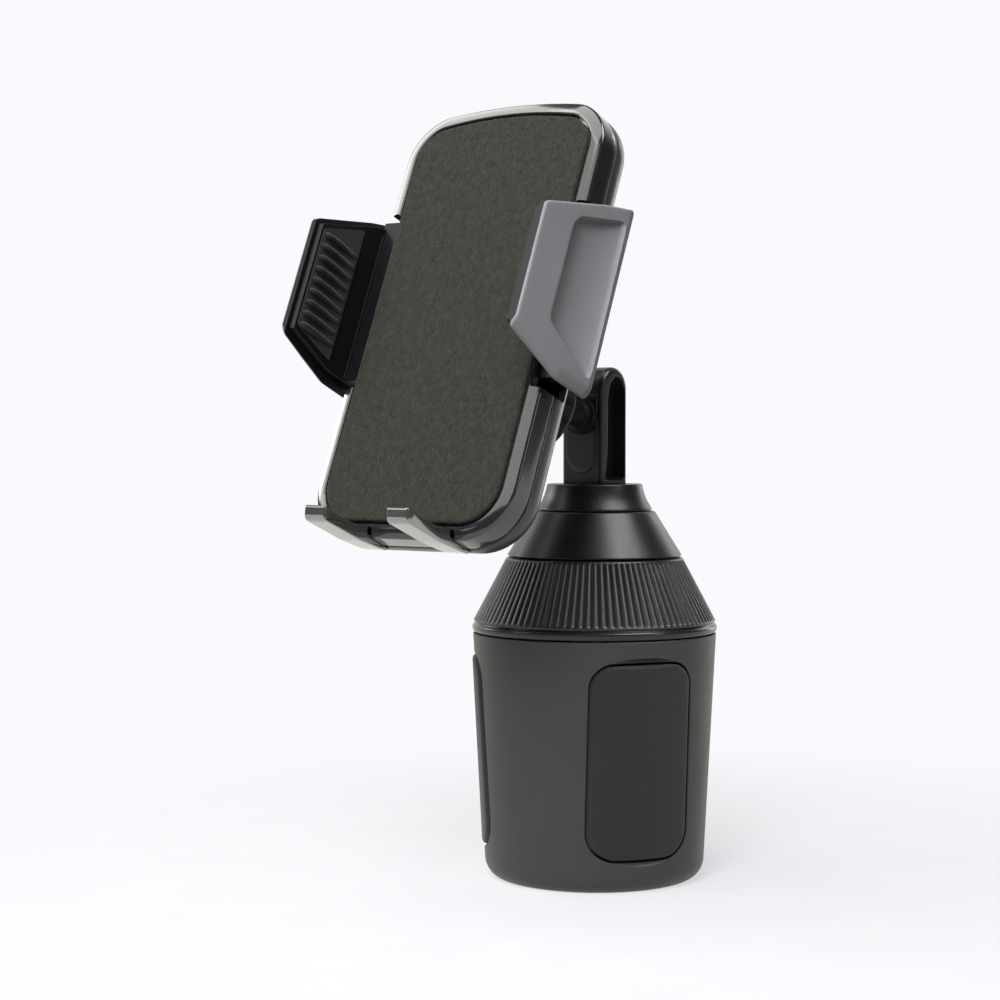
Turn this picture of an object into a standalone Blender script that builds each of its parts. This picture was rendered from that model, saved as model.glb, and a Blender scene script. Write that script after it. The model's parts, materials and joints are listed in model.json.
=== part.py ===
"""Cup-holder phone mount: an expanding cup base, a swivel neck with a ball, and a clamping cradle.

Metres, +Z up.  The origin is the centre of the base's flat underside, and the phone faces -Y.
The cradle is drawn in its own frame: X to its right, Y up its face, Z out of the face.
"""
import math

import bmesh
import bpy
from mathutils import Matrix

# ---------------------------------------------------------------- driving dimensions (metres)
GAP = 0.0003                    # clearance between neighbouring pieces
ROUND_STEPS = 48                # facets round a large turned piece
SMALL_STEPS = 24                # facets round a joint piece
SCREW_STEPS = 10                # facets round a screw

# Base cup: a flat foot, a rounded edge, then a straight taper out to the rim
CUP_FOOT_R = 0.0266
CUP_EDGE_R = 0.0316
CUP_EDGE_Z = 0.0060
CUP_RIM_R = 0.0350
CUP_RIM_Z = 0.0703
CUP_WALL = 0.0028
CUP_FLOOR = 0.0034

# Grip pads and the windows that they come out of
PAD_ANGLES = (-30.0, 90.0, 210.0)       # degrees from +X, so the spare side faces the phone
WINDOW_HALF_W = 0.0155
WINDOW_LOW = 0.0090
WINDOW_HIGH = 0.0643
WINDOW_LOW_R = 0.0085
WINDOW_HIGH_R = 0.0068
PAD_CLEAR = 0.0005
PAD_PROUD = 0.0006
PAD_THICK = 0.0038
CARRIER_THICK = 0.0028
PIN_R = 0.0015
PIN_START = 0.0130                      # pin's distance from the axis with the pads drawn in
PAD_TRAVEL = 0.0100
RING_TURN = math.radians(120.0)         # turn of the knurled ring that gives the full travel

# Deck, trim ring, knurled ring and cone above the cup
DECK_LOW = 0.0665
DECK_HIGH = 0.0700
DECK_R = 0.0316
PILLAR_R = 0.0065
PILLAR_BORE_R = 0.0028
PILLAR_TOP = 0.0920
TRIM_LOW = 0.0706
TRIM_HIGH = 0.0733
TRIM_R = 0.0352
TRIM_BORE_R = 0.0302
DISC_LOW = 0.0709
DISC_HIGH = 0.0731
DISC_R = 0.0294
RING_LOW = 0.0736
RING_HIGH = 0.0920
RING_LOW_R = 0.0350
RING_HIGH_R = 0.0253
RING_WALL = 0.0032
RING_FLANGE_BORE_R = 0.0235
RING_LIP_BORE_R = 0.0215
RING_PLATE = 0.0018
RING_SCREW_CIRCLE = 0.0272
RING_SCREW_TURN = 63.0                  # degrees from a pad's direction to a ring screw's
DECK_SCREW_CIRCLE = 0.0293
CONE_LOW = 0.0925
CONE_HIGH = 0.1053
CONE_LOW_R = 0.0252
CONE_HIGH_R = 0.0173

# Neck: collar, post and ball stud
COLLAR_LOW = 0.1056
COLLAR_HIGH = 0.1131
COLLAR_FLARE = ((0.0134, 0.1131), (0.0137, 0.1128), (0.0143, 0.1112),
                (0.0151, 0.1085), (0.0163, 0.1062), (0.0167, 0.1056))
POST_W = 0.0147
POST_D = 0.0125
POST_TOP = 0.1457
POST_FOOT_R = 0.0110
POST_FOOT_LOW = 0.1059
POST_FOOT_HIGH = 0.1103
BOLT_R = 0.0024
BALL_R = 0.0085
BALL_CENTRE = (0.0, -0.0350, 0.1365)
STEM_R = 0.0036
STEM_FALL = math.radians(8.0)           # the stem drops this much from the ball to the post

# Ball joint pieces, along the cradle's normal from the ball's centre
LINER_IN_R = 0.0087
LINER_OUT_R = 0.0099
SOCKET_SPHERE_R = 0.0102
SOCKET_BARREL_R = 0.0130
SOCKET_FLANGE_R = 0.0170
NUT_R = 0.0155

# Cradle: its tilt, the fabric face's place from the ball, and its outlines
CRADLE_TILT = math.radians(22.5)
FACE_UP = 0.0080
FACE_OUT = 0.0350
FACE_HALF_W = 0.0294
FACE_LOW = -0.0570
FACE_HIGH = 0.0580                      # top at the corners, the crown adds FACE_CROWN
FACE_CROWN = 0.0034
FACE_LOW_R = 0.0110
FACE_HIGH_R = 0.0075
BEZEL_MARGIN = 0.0041
SHELL_WALL = 0.0022
BEZEL_FRONT = -0.0004
BEZEL_REAR = -0.0078
BEZEL_ROUND = 0.0036
SHELL_FRONT = -0.0081
SHELL_REAR = -0.0180
SHELL_ROUND = 0.0085
SHELL_FLOOR = -0.0158
RECESS_FLOOR = -0.0022
FRONT_PLATE = -0.0040
CRADLE_SCREWS = ((-0.0240, 0.0490), (0.0240, 0.0490), (-0.0230, -0.0460), (0.0230, -0.0460))

# Clamp: side windows, arms, racks and pinion
NOTCH_REAR = -0.0096
SIDE_LOW = -0.0155
SIDE_HIGH = 0.0340
SIDE_EDGE = 0.0297
OPENING_LOW = -0.0190
OPENING_REAR = -0.0125
ARM_FRONT = -0.0043
ARM_REAR = -0.0071
ARM_INNER = 0.0170
ARM_OUTER = 0.0383
SIDE_CLEAR = 0.0006
WEB_INNER = 0.0193                      # the block that joins an arm to its rack
WEB_OUTER = 0.0252
WEB_HALF_W = 0.0012
RACK_FRONT = -0.0074
RACK_REAR = -0.0108
RACK_HEIGHT = 0.0048
RACK_REACH = 0.0160                     # how far a rack runs past the centre
PINION_UP = 0.0090
TOOTH_MODULE = 0.0010
PINION_TEETH = 14
PITCH_R = TOOTH_MODULE * PINION_TEETH / 2
PRESSURE_ANGLE = math.radians(20.0)
TOOTH_BACKLASH = 0.00012
PINION_PIN_R = 0.0015

# Jaws: outlines as (out of the face, up the face), thicknesses from the cradle's centre line
JAW_CORE = ((0.0212, 0.0205), (0.0, 0.0300), (-0.0110, 0.0335), (-0.0118, 0.0325),
            (-0.0118, -0.0140), (-0.0108, -0.0150), (0.0030, -0.0150), (0.0212, -0.0105))
JAW_COVER = ((0.0222, 0.0212), (0.0212, 0.0222), (0.0, 0.0315), (-0.0110, 0.0355), (-0.0122, 0.0348),
             (-0.0122, -0.0172), (-0.0112, -0.0182), (0.0020, -0.0182), (0.0216, -0.0126), (0.0222, -0.0116))
JAW_SCOOP = ((0.0130, 0.0195), (0.0110, 0.0212), (-0.0050, 0.0262), (-0.0072, 0.0245),
             (-0.0082, -0.0095), (-0.0066, -0.0125), (0.0080, -0.0062), (0.0112, -0.0030))
JAW_LINER = ((0.0205, 0.0190), (0.0045, 0.0262), (0.0045, -0.0125), (0.0205, -0.0085))
CORE_INNER = 0.0368
CORE_OUTER = 0.0386
COVER_INNER = 0.0389
COVER_OUTER = 0.0412
LINER_INNER = 0.0357
LINER_OUTER = 0.0365
RIB_INNER = 0.0350
RIB_COUNT = 9
RIB_LOWEST = -0.0085
RIB_PITCH = 0.0033
RIB_HALF_W = 0.0008
SCOOP_DEPTH = 0.0014
JAW_LEAN = 0.06                         # the jaws' front edges lean in by this slope
JAW_LEAN_FROM = 0.0050

# Foot bracket: two prongs that the phone stands on
PRONG_AT = 0.0139
PRONG_HALF_W = 0.0036
PRONG = ((0.0168, -0.0593), (0.0154, -0.0594), (0.0143, -0.0600), (0.0006, -0.0600), (0.0003, -0.0604),
         (-0.0066, -0.0604), (-0.0066, -0.0400),
         (-0.0092, -0.0400), (-0.0092, -0.0612), (-0.0086, -0.0619), (0.0150, -0.0634),
         (0.0172, -0.0630), (0.0180, -0.0618), (0.0179, -0.0598))

# Release button on the cradle's back
BUTTON_UP = 0.0340
BUTTON_R = 0.0050
BUTTON_FLANGE_R = 0.0068
SPRING_WIRE_R = 0.00025

LOOKS = {                               # colour, roughness, metallic
    "satin_black": ((0.030, 0.031, 0.031), 0.45, 0.0),
    "cup_grey": ((0.045, 0.047, 0.046), 0.50, 0.0),
    "gloss_black": ((0.012, 0.013, 0.015), 0.12, 0.0),
    "jaw_grey": ((0.110, 0.110, 0.118), 0.42, 0.0),
    "inner_black": ((0.020, 0.020, 0.020), 0.60, 0.0),
    "rubber": ((0.028, 0.030, 0.034), 0.70, 0.0),
    "fabric": ((0.050, 0.050, 0.042), 0.95, 0.0),
    "foam": ((0.080, 0.080, 0.080), 0.95, 0.0),
    "nylon": ((0.600, 0.590, 0.550), 0.40, 0.0),
    "steel": ((0.560, 0.560, 0.580), 0.30, 1.0),
}


# ---------------------------------------------------------------- scene and object helpers
def clear_scene():
    """Remove every object of the open scene."""
    for obj in list(bpy.data.objects):
        bpy.data.objects.remove(obj, do_unlink=True)


def new_collection(name):
    """Return a new collection linked to the scene."""
    collection = bpy.data.collections.new(name)
    bpy.context.scene.collection.children.link(collection)
    return collection


def look(name):
    """Return the Principled material of that name, made on first use."""
    material = bpy.data.materials.get(name)
    if material is None:
        colour, roughness, metallic = LOOKS[name]
        material = bpy.data.materials.new(name)
        material.use_nodes = True
        shader = material.node_tree.nodes["Principled BSDF"]
        shader.inputs["Base Color"].default_value = (*colour, 1.0)
        shader.inputs["Roughness"].default_value = roughness
        shader.inputs["Metallic"].default_value = metallic
        material.diffuse_color = (*colour, 1.0)
    return material


def empty(name, location=(0.0, 0.0, 0.0), rotation=(0.0, 0.0, 0.0), parent=None):
    """Return an empty that carries the pieces of one moving group."""
    obj = bpy.data.objects.new(name, None)
    obj.empty_display_size = 0.01
    obj.location = location
    obj.rotation_euler = rotation
    obj.parent = parent
    PARTS.objects.link(obj)
    return obj


def add_object(name, mesh, parent, material, location=(0.0, 0.0, 0.0)):
    """Return a new object for a mesh: a part, or a cutter when it has no material."""
    obj = bpy.data.objects.new(name, mesh)
    obj.location = location
    obj.parent = parent
    if material is None:
        CUTTERS.objects.link(obj)
        obj.hide_render = True
        obj.display_type = "WIRE"
    else:
        PARTS.objects.link(obj)
        mesh.materials.append(look(material))
    return obj


def mesh_from(bm, name, smooth=None):
    """Turn a bmesh into a mesh with outward faces, smooth below the given angle in degrees."""
    bmesh.ops.recalc_face_normals(bm, faces=bm.faces)
    mesh = bpy.data.meshes.new(name)
    bm.to_mesh(mesh)
    bm.free()
    if smooth is not None:
        mesh.shade_smooth()
        mesh.set_sharp_from_angle(angle=math.radians(smooth))
    return mesh


def boolean(target, operation, *tools, solver="EXACT"):
    """Add one Boolean modifier for each tool."""
    for tool in tools:
        modifier = target.modifiers.new(operation.lower(), "BOOLEAN")
        modifier.operation = operation
        modifier.solver = solver
        modifier.object = tool
    return target


def cut(target, *tools):
    """Subtract the tools from the target."""
    return boolean(target, "DIFFERENCE", *tools)


def join(target, *tools):
    """Unite the tools with the target."""
    return boolean(target, "UNION", *tools)


# ---------------------------------------------------------------- shape helpers
def turned(name, profile, parent=None, material=None, steps=ROUND_STEPS, location=(0.0, 0.0, 0.0)):
    """Turn a profile of (radius, height) points about Z; it closes on itself unless it meets the axis."""
    mesh = bpy.data.meshes.new(name)
    points = [(radius, 0.0, height) for radius, height in profile]
    edges = [(i, i + 1) for i in range(len(points) - 1)]
    if profile[0][0] > 0.0:
        edges.append((len(points) - 1, 0))
    mesh.from_pydata(points, edges, [])
    obj = add_object(name, mesh, parent, material, location)
    screw = obj.modifiers.new("turn", "SCREW")
    screw.axis = "Z"
    screw.angle = math.tau
    screw.steps = steps
    screw.render_steps = steps
    screw.use_merge_vertices = True
    screw.merge_threshold = 0.00001
    screw.use_smooth_shade = True
    return obj


def arc(centre, radius, start, end, steps):
    """Points on a circle from start to end degrees, both included."""
    return [(centre[0] + radius * math.cos(math.radians(start + (end - start) * i / steps)),
             centre[1] + radius * math.sin(math.radians(start + (end - start) * i / steps)))
            for i in range(steps + 1)]


def rounded_outline(half_w, low, high, low_r, high_r, crown=0.0, steps=6):
    """A rectangle with rounded corners, whose top edge rises by crown at its middle."""
    points = arc((-half_w + low_r, low + low_r), low_r, 180, 270, steps)
    points += arc((half_w - low_r, low + low_r), low_r, 270, 360, steps)
    points += arc((half_w - high_r, high - high_r), high_r, 0, 90, steps)
    if crown:
        points += [(x * (half_w - high_r), high) for x in (0.6, 0.2, -0.2, -0.6)]
    points += arc((-half_w + high_r, high - high_r), high_r, 90, 180, steps)
    rise = high - 2 * high_r
    return [(x, y + crown * (1 - (x / half_w) ** 2) * max(0.0, min(1.0, (y - rise) / (high - rise))))
            for x, y in points]


def obround(x0, x1, radius, y=0.0, steps=8):
    """A slot's outline with round ends between two end centres."""
    return arc((x1, y), radius, -90, 90, steps) + arc((x0, y), radius, 90, 270, steps)


ACROSS_FACE = Matrix.Identity(4)                                        # outline x, y -> X, Y
SIDE_ON = Matrix(((0, 0, 1, 0), (0, 1, 0, 0), (1, 0, 0, 0), (0, 0, 0, 1)))   # outline x, y -> Z, Y
END_ON = Matrix(((0, 0, 1, 0), (1, 0, 0, 0), (0, 1, 0, 0), (0, 0, 0, 1)))    # outline x, y -> Y, Z


def prism(name, outline, start, end, parent=None, material=None, plane=ACROSS_FACE,
          round_end=0.0, round_start=0.0, round_steps=3):
    """A flat outline given thickness from start to end, with either rim rounded."""
    curve = bpy.data.curves.new(name, "CURVE")
    curve.dimensions = "2D"
    curve.fill_mode = "BOTH"
    curve.extrude = abs(end - start) / 2
    spline = curve.splines.new("POLY")
    spline.points.add(len(outline) - 1)
    for point, (x, y) in zip(spline.points, outline):
        point.co = (x, y, 0.0, 1.0)
    spline.use_cyclic_u = True
    drawn = bpy.data.objects.new(name, curve)
    CUTTERS.objects.link(drawn)
    graph = bpy.context.evaluated_depsgraph_get()
    flat = bpy.data.meshes.new_from_object(drawn.evaluated_get(graph))
    bpy.data.objects.remove(drawn)
    bm = bmesh.new()
    bm.from_mesh(flat)
    bpy.data.meshes.remove(flat)
    bmesh.ops.remove_doubles(bm, verts=bm.verts, dist=0.000001)
    bmesh.ops.translate(bm, vec=(0, 0, (start + end) / 2), verts=bm.verts)
    merge_caps(bm)
    for level, width in ((max(start, end), round_end), (min(start, end), round_start)):
        if width:
            round_rim(bm, level, width, round_steps)
    caps = [face for face in bm.faces if len(face.verts) > 4]
    bmesh.ops.triangulate(bm, faces=caps, quad_method="BEAUTY", ngon_method="BEAUTY")
    bmesh.ops.transform(bm, matrix=plane, verts=bm.verts)
    return add_object(name, mesh_from(bm, name, smooth=35), parent, material)


def merge_caps(bm):
    """Make each flat cap of an extruded outline one face."""
    for sign in (1, -1):
        bm.normal_update()
        cap = [face for face in bm.faces if face.normal.z * sign > 0.9]
        if len(cap) > 1:
            bmesh.ops.dissolve_faces(bm, faces=cap)


def round_rim(bm, level, width, steps):
    """Round the edge between the cap at a level and the side walls."""
    rim = [edge for edge in bm.edges
           if all(abs(vert.co.z - level) < 1e-7 for vert in edge.verts)]
    bmesh.ops.bevel(bm, geom=rim, offset=width, segments=steps, profile=0.5, affect="EDGES",
                    clamp_overlap=True)


def box(name, low, high, parent=None, material=None, round_w=0.0, round_steps=2):
    """A box between two corners, with rounded edges if asked."""
    bm = bmesh.new()
    bmesh.ops.create_cube(bm, size=1.0)
    size = [b - a for a, b in zip(low, high)]
    middle = [(a + b) / 2 for a, b in zip(low, high)]
    bmesh.ops.scale(bm, vec=size, verts=bm.verts)
    bmesh.ops.translate(bm, vec=middle, verts=bm.verts)
    if round_w:
        bmesh.ops.bevel(bm, geom=bm.edges[:], offset=round_w, segments=round_steps,
                        profile=0.5, affect="EDGES")
    return add_object(name, mesh_from(bm, name, smooth=35), parent, material)


def rod(name, radius, start, end, parent=None, material=None, at=(0.0, 0.0), steps=SCREW_STEPS):
    """A cylinder along Z at a place in X and Y."""
    bm = bmesh.new()
    bmesh.ops.create_cone(bm, cap_ends=True, segments=steps, radius1=radius, radius2=radius,
                          depth=abs(end - start))
    bmesh.ops.translate(bm, vec=(at[0], at[1], (start + end) / 2), verts=bm.verts)
    return add_object(name, mesh_from(bm, name, smooth=35), parent, material)


def screw(name, head_r, shank_r, seat, head_end, tip, parent, at):
    """A pan-head screw along Z: its head lies between seat and head_end, its shank runs to tip."""
    up = 1 if head_end > seat else -1
    dome = head_end - up * 0.0003
    profile = [(0.0, head_end), (head_r * 0.75, head_end), (head_r, dome), (head_r, seat),
               (shank_r, seat), (shank_r, tip), (0.0, tip)]
    if up < 0:
        profile.reverse()
    obj = turned(name, profile, parent, "steel", SCREW_STEPS, (at[0], at[1], 0.0))
    return obj


# ---------------------------------------------------------------- base
def cup_radius(height):
    """Outer radius of the cup's straight taper at a height."""
    return CUP_EDGE_R + (CUP_RIM_R - CUP_EDGE_R) * (height - CUP_EDGE_Z) / (CUP_RIM_Z - CUP_EDGE_Z)


def taper_band(name, outer, inner, low, high):
    """A tapered sleeve that follows the cup's wall, offset out and in by the given amounts."""
    return turned(name, [(cup_radius(high) + outer, high), (cup_radius(low) + outer, low),
                         (cup_radius(low) + inner, low), (cup_radius(high) + inner, high)],
                  None, None, ROUND_STEPS)


def build_cup():
    """The tapered cup, with three pad windows and three screw bosses inside its wall."""
    fillet_w = CUP_EDGE_R - CUP_FOOT_R
    fillet = [(CUP_FOOT_R + fillet_w * math.cos(math.radians(a)),
               CUP_EDGE_Z * (1 - math.sin(math.radians(a)))) for a in (0, 18, 36, 54, 72, 90)]
    inner_low = 0.0050
    profile = [(0.0, CUP_FLOOR), (CUP_EDGE_R - CUP_WALL - 0.0016, CUP_FLOOR),
               (CUP_EDGE_R - CUP_WALL - 0.0002, inner_low), (CUP_RIM_R - CUP_WALL, CUP_RIM_Z),
               (CUP_RIM_R, CUP_RIM_Z)] + fillet + [(0.0, 0.0)]
    cup = turned("base_cup", profile, None, "cup_grey")
    boss_low, boss_top, boss_r, hole_r = 0.0440, 0.0662, 0.0034, 0.0012
    for angle, spoke in zip(PAD_ANGLES, SPOKES):
        window = prism(f"window_{angle:.0f}", rounded_outline(
            WINDOW_HALF_W, WINDOW_LOW, WINDOW_HIGH, WINDOW_LOW_R, WINDOW_HIGH_R),
            0.022, 0.042, spoke, None, END_ON)
        cut(cup, window)
    for number in range(3):
        boss_spoke = empty(f"boss_spoke_{number + 1}", rotation=(0, 0, math.radians(30 + 120 * number)))
        at = (DECK_SCREW_CIRCLE, 0.0)
        join(cup, rod(f"boss_{number + 1}", boss_r, boss_low, boss_top, boss_spoke, at=at, steps=16))
        cut(cup, rod(f"boss_hole_{number + 1}", hole_r, boss_low + 0.004, boss_top + 0.001, boss_spoke, at=at))
        screw(f"deck_screw_{number + 1}", 0.0024, 0.0010, 0.0684, 0.0698, 0.0540, boss_spoke, at)
        BOSS_SPOKES.append(boss_spoke)
    return cup


def build_deck():
    """The plate that closes the cup, guides the pad pins and carries the hollow pillar."""
    deck = turned("guide_deck", [
        (PILLAR_BORE_R, PILLAR_TOP), (PILLAR_R, PILLAR_TOP), (PILLAR_R, DECK_HIGH),
        (DECK_R, DECK_HIGH), (DECK_R, DECK_LOW), (PILLAR_BORE_R, DECK_LOW)], None, "inner_black")
    slot_r = PIN_R + 0.0003
    for number, spoke in enumerate(SPOKES):
        slot = prism(f"deck_slot_{number + 1}", obround(PIN_START, PIN_START + PAD_TRAVEL, slot_r),
                     DECK_LOW - 0.001, DECK_HIGH + 0.001, spoke)
        cut(deck, slot)
    for number, spoke in enumerate(BOSS_SPOKES):
        at = (DECK_SCREW_CIRCLE - 0.0001, 0.0)
        cut(deck, rod(f"deck_hole_{number + 1}", 0.0012, DECK_LOW - 0.001, DECK_HIGH, spoke, at=at),
            rod(f"deck_sink_{number + 1}", 0.0027, 0.0681, DECK_HIGH + 0.001, spoke, at=at, steps=16))
    return deck


def build_pad(number, spoke):
    """One rubber grip pad and the carrier that slides it out through its window."""
    outline = rounded_outline(WINDOW_HALF_W - PAD_CLEAR, WINDOW_LOW + PAD_CLEAR, WINDOW_HIGH - PAD_CLEAR,
                              WINDOW_LOW_R - PAD_CLEAR, WINDOW_HIGH_R - PAD_CLEAR)
    pad = prism(f"grip_pad_{number}", outline, 0.020, 0.042, spoke, "rubber", END_ON)
    band = taper_band(f"pad_band_{number}", PAD_PROUD, PAD_PROUD - PAD_THICK, 0.005, 0.069)
    boolean(pad, "INTERSECT", band)

    inset = 0.0020
    back = rounded_outline(WINDOW_HALF_W - inset, WINDOW_LOW + inset, WINDOW_HIGH - inset,
                           WINDOW_LOW_R - inset, WINDOW_HIGH_R - inset, steps=3)
    carrier = prism(f"pad_carrier_{number}", back, 0.018, 0.040, spoke, "inner_black", END_ON)
    rear = PAD_PROUD - PAD_THICK - GAP
    sleeve = taper_band(f"carrier_band_{number}", rear, rear - CARRIER_THICK, 0.005, 0.069)
    boolean(carrier, "INTERSECT", sleeve)
    half_w, tongue_in, tongue_out = 0.0045, PIN_START - 0.0026, 0.0295
    tongue = box(f"tongue_{number}", (tongue_in, -half_w, 0.0545), (tongue_out, half_w, 0.0610), spoke)
    riser = box(f"riser_{number}", (tongue_in, -half_w + 0.001, 0.0600),
                (PIN_START + 0.0048, half_w - 0.001, DECK_LOW - GAP), spoke)
    pin = rod(f"pin_{number}", PIN_R, 0.0630, DISC_HIGH - 0.0002, spoke, at=(PIN_START, 0.0), steps=16)
    join(carrier, tongue, riser, pin)


def spiral_slot(width, steps=16):
    """A slot whose distance from the axis grows evenly as it turns back by the ring's full turn."""
    rate = PAD_TRAVEL / RING_TURN
    middle = []
    for i in range(steps + 1):
        turn = RING_TURN * i / steps
        radius = PIN_START + rate * turn
        tangent = math.atan2(radius, -rate) - turn
        middle.append((radius * math.cos(-turn), radius * math.sin(-turn), tangent + math.pi))
    left = [(x - width * math.sin(a), y + width * math.cos(a)) for x, y, a in middle]
    right = [(x + width * math.sin(a), y - width * math.cos(a)) for x, y, a in middle]
    x0, y0, a0 = middle[0]
    x1, y1, a1 = middle[-1]
    start_cap = arc((x0, y0), width, math.degrees(a0) + 90, math.degrees(a0) + 270, 6)[1:-1]
    end_cap = arc((x1, y1), width, math.degrees(a1) - 90, math.degrees(a1) + 90, 6)[1:-1]
    return left[::-1] + start_cap + right + end_cap


def build_ring():
    """The knurled ring, the scroll disc that moves the pads, and the screws between them."""
    slope = (RING_HIGH_R - RING_LOW_R) / (RING_HIGH - RING_LOW)
    inner_low, inner_high = RING_LOW + RING_PLATE, RING_HIGH - RING_PLATE
    ring = turned("knurled_ring", [
        (RING_LIP_BORE_R, RING_HIGH), (RING_HIGH_R, RING_HIGH), (RING_LOW_R, RING_LOW),
        (RING_FLANGE_BORE_R, RING_LOW), (RING_FLANGE_BORE_R, inner_low),
        (RING_LOW_R + slope * RING_PLATE - RING_WALL, inner_low),
        (RING_HIGH_R - slope * RING_PLATE - RING_WALL, inner_high),
        (RING_LIP_BORE_R, inner_high)], RING_AXIS, "inner_black")
    disc = turned("scroll_disc", [
        (PILLAR_R + GAP, DISC_HIGH), (DISC_R, DISC_HIGH), (DISC_R, DISC_LOW), (PILLAR_R + GAP, DISC_LOW)],
        RING_AXIS, "nylon")
    for number, angle in enumerate(PAD_ANGLES):
        spoke = empty(f"slot_spoke_{number + 1}", rotation=(0, 0, math.radians(angle)), parent=RING_AXIS)
        cut(disc, prism(f"spiral_{number + 1}", spiral_slot(PIN_R + 0.0003),
                        DISC_LOW - 0.001, DISC_HIGH + 0.001, spoke))
        turn = math.radians(angle + RING_SCREW_TURN)
        at = (RING_SCREW_CIRCLE * math.cos(turn), RING_SCREW_CIRCLE * math.sin(turn))
        cut(ring, rod(f"ring_hole_{number + 1}", 0.0012, RING_LOW - 0.001, 0.0760, RING_AXIS, at=at))
        cut(disc, rod(f"disc_hole_{number + 1}", 0.0012, DISC_LOW - 0.001, 0.0740, RING_AXIS, at=at),
            rod(f"disc_sink_{number + 1}", 0.0019, DISC_LOW - 0.001, 0.0722, RING_AXIS, at=at, steps=16))
        screw(f"ring_screw_{number + 1}", 0.0017, 0.0010, 0.0720, 0.0710, 0.0751, RING_AXIS, at)


def build_cone():
    """The trim ring on the cup's rim and the cone cover that sits on the pillar."""
    turned("trim_ring", [(TRIM_BORE_R, TRIM_HIGH), (TRIM_R - 0.0003, TRIM_HIGH), (TRIM_R, TRIM_HIGH - 0.0003),
                         (TRIM_R, TRIM_LOW + 0.0003), (TRIM_R - 0.0003, TRIM_LOW), (TRIM_BORE_R, TRIM_LOW)],
           None, "gloss_black")
    wall, boss_r = 0.0026, 0.0085
    turned("cone_cover", [
        (PILLAR_BORE_R, CONE_HIGH), (CONE_HIGH_R - 0.0004, CONE_HIGH), (CONE_HIGH_R, CONE_HIGH - 0.0004),
        (CONE_LOW_R, CONE_LOW + 0.0004), (CONE_LOW_R - 0.0004, CONE_LOW), (CONE_LOW_R - wall, CONE_LOW),
        (CONE_HIGH_R - wall, CONE_HIGH - wall), (boss_r, CONE_HIGH - wall), (boss_r, CONE_LOW - 0.0002),
        (PILLAR_BORE_R, CONE_LOW - 0.0002)], None, "satin_black")


# ---------------------------------------------------------------- neck
def post_side(inset, low, high, front=None):
    """The post's side outline as (Y, Z): straight sides under a round top, narrowed by inset."""
    half = POST_D / 2 - inset
    front = -half if front is None else front
    top = arc((0.0, high - POST_D / 2), half, 0, 180, 10)
    top = [(max(front, y), z) for y, z in top]
    return [(front, low), (half, low)] + top


def build_neck():
    """The post on its round foot, its collar, the bolt through the base, and the ball stud."""
    post = prism("neck_post", post_side(0.0, POST_FOOT_HIGH - 0.001, POST_TOP), -POST_W / 2, POST_W / 2,
                 NECK_AXIS, "satin_black", END_ON, round_end=0.0013, round_start=0.0013)
    foot = turned("post_foot", [(0.0, POST_FOOT_HIGH), (POST_FOOT_R, POST_FOOT_HIGH),
                                (POST_FOOT_R, POST_FOOT_LOW), (0.0, POST_FOOT_LOW)], NECK_AXIS, None, 32)
    join(post, foot)
    rim, depth, pocket_low, pocket_top = 0.0026, 0.0042, 0.0152, 0.0016
    low = 0.1000 + pocket_low
    front = -POST_D / 2 + rim
    back = POST_D / 2 - 0.0014
    flare = 0.0014
    outline = [(front - flare, low), (back, low), (back, POST_TOP - POST_D / 2 - pocket_top)]
    outline += [(y, z) for y, z in arc((0.0, POST_TOP - POST_D / 2 - pocket_top), back, 10, 90, 6)]
    outline += [(front + 0.0012, POST_TOP - POST_D / 2 + 0.0012), (front, POST_TOP - POST_D / 2 - 0.0030),
                (front, low + 0.0085), (front - flare * 0.4, low + 0.0045)]
    for side in (-1, 1):
        outer = side * (POST_W / 2 + 0.002)
        inner = side * (POST_W / 2 - depth)
        cut(post, prism(f"pocket_{side + 2}", outline, min(inner, outer), max(inner, outer),
                        NECK_AXIS, None, END_ON))
    cut(post, rod("bolt_bore", BOLT_R + 0.0002, 0.100, 0.1136, NECK_AXIS, steps=16))

    collar = turned("neck_collar", [(0.0, COLLAR_HIGH)] + list(COLLAR_FLARE) + [
        (0.0142, COLLAR_LOW), (0.0116, 0.1107), (0.0, 0.1107)], NECK_AXIS, "satin_black")
    hole = prism("collar_hole", rounded_outline(POST_W / 2 + GAP, -POST_D / 2 - GAP, POST_D / 2 + GAP,
                                                0.0016, 0.0016, steps=3),
                 0.104, 0.116, NECK_AXIS)
    cut(collar, hole)

    turned("swivel_bolt", [(0.0, 0.1130), (BOLT_R, 0.1130), (BOLT_R, 0.0646), (0.0048, 0.0646),
                           (0.0048, 0.0610), (0.0, 0.0610)], NECK_AXIS, "steel", 16)
    turned("spring_washer", [(BOLT_R + GAP, 0.0661), (0.0060, 0.0657), (0.0060, 0.0650),
                             (BOLT_R + GAP, 0.0654)], NECK_AXIS, "steel", 20)
    build_stud(post)


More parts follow.
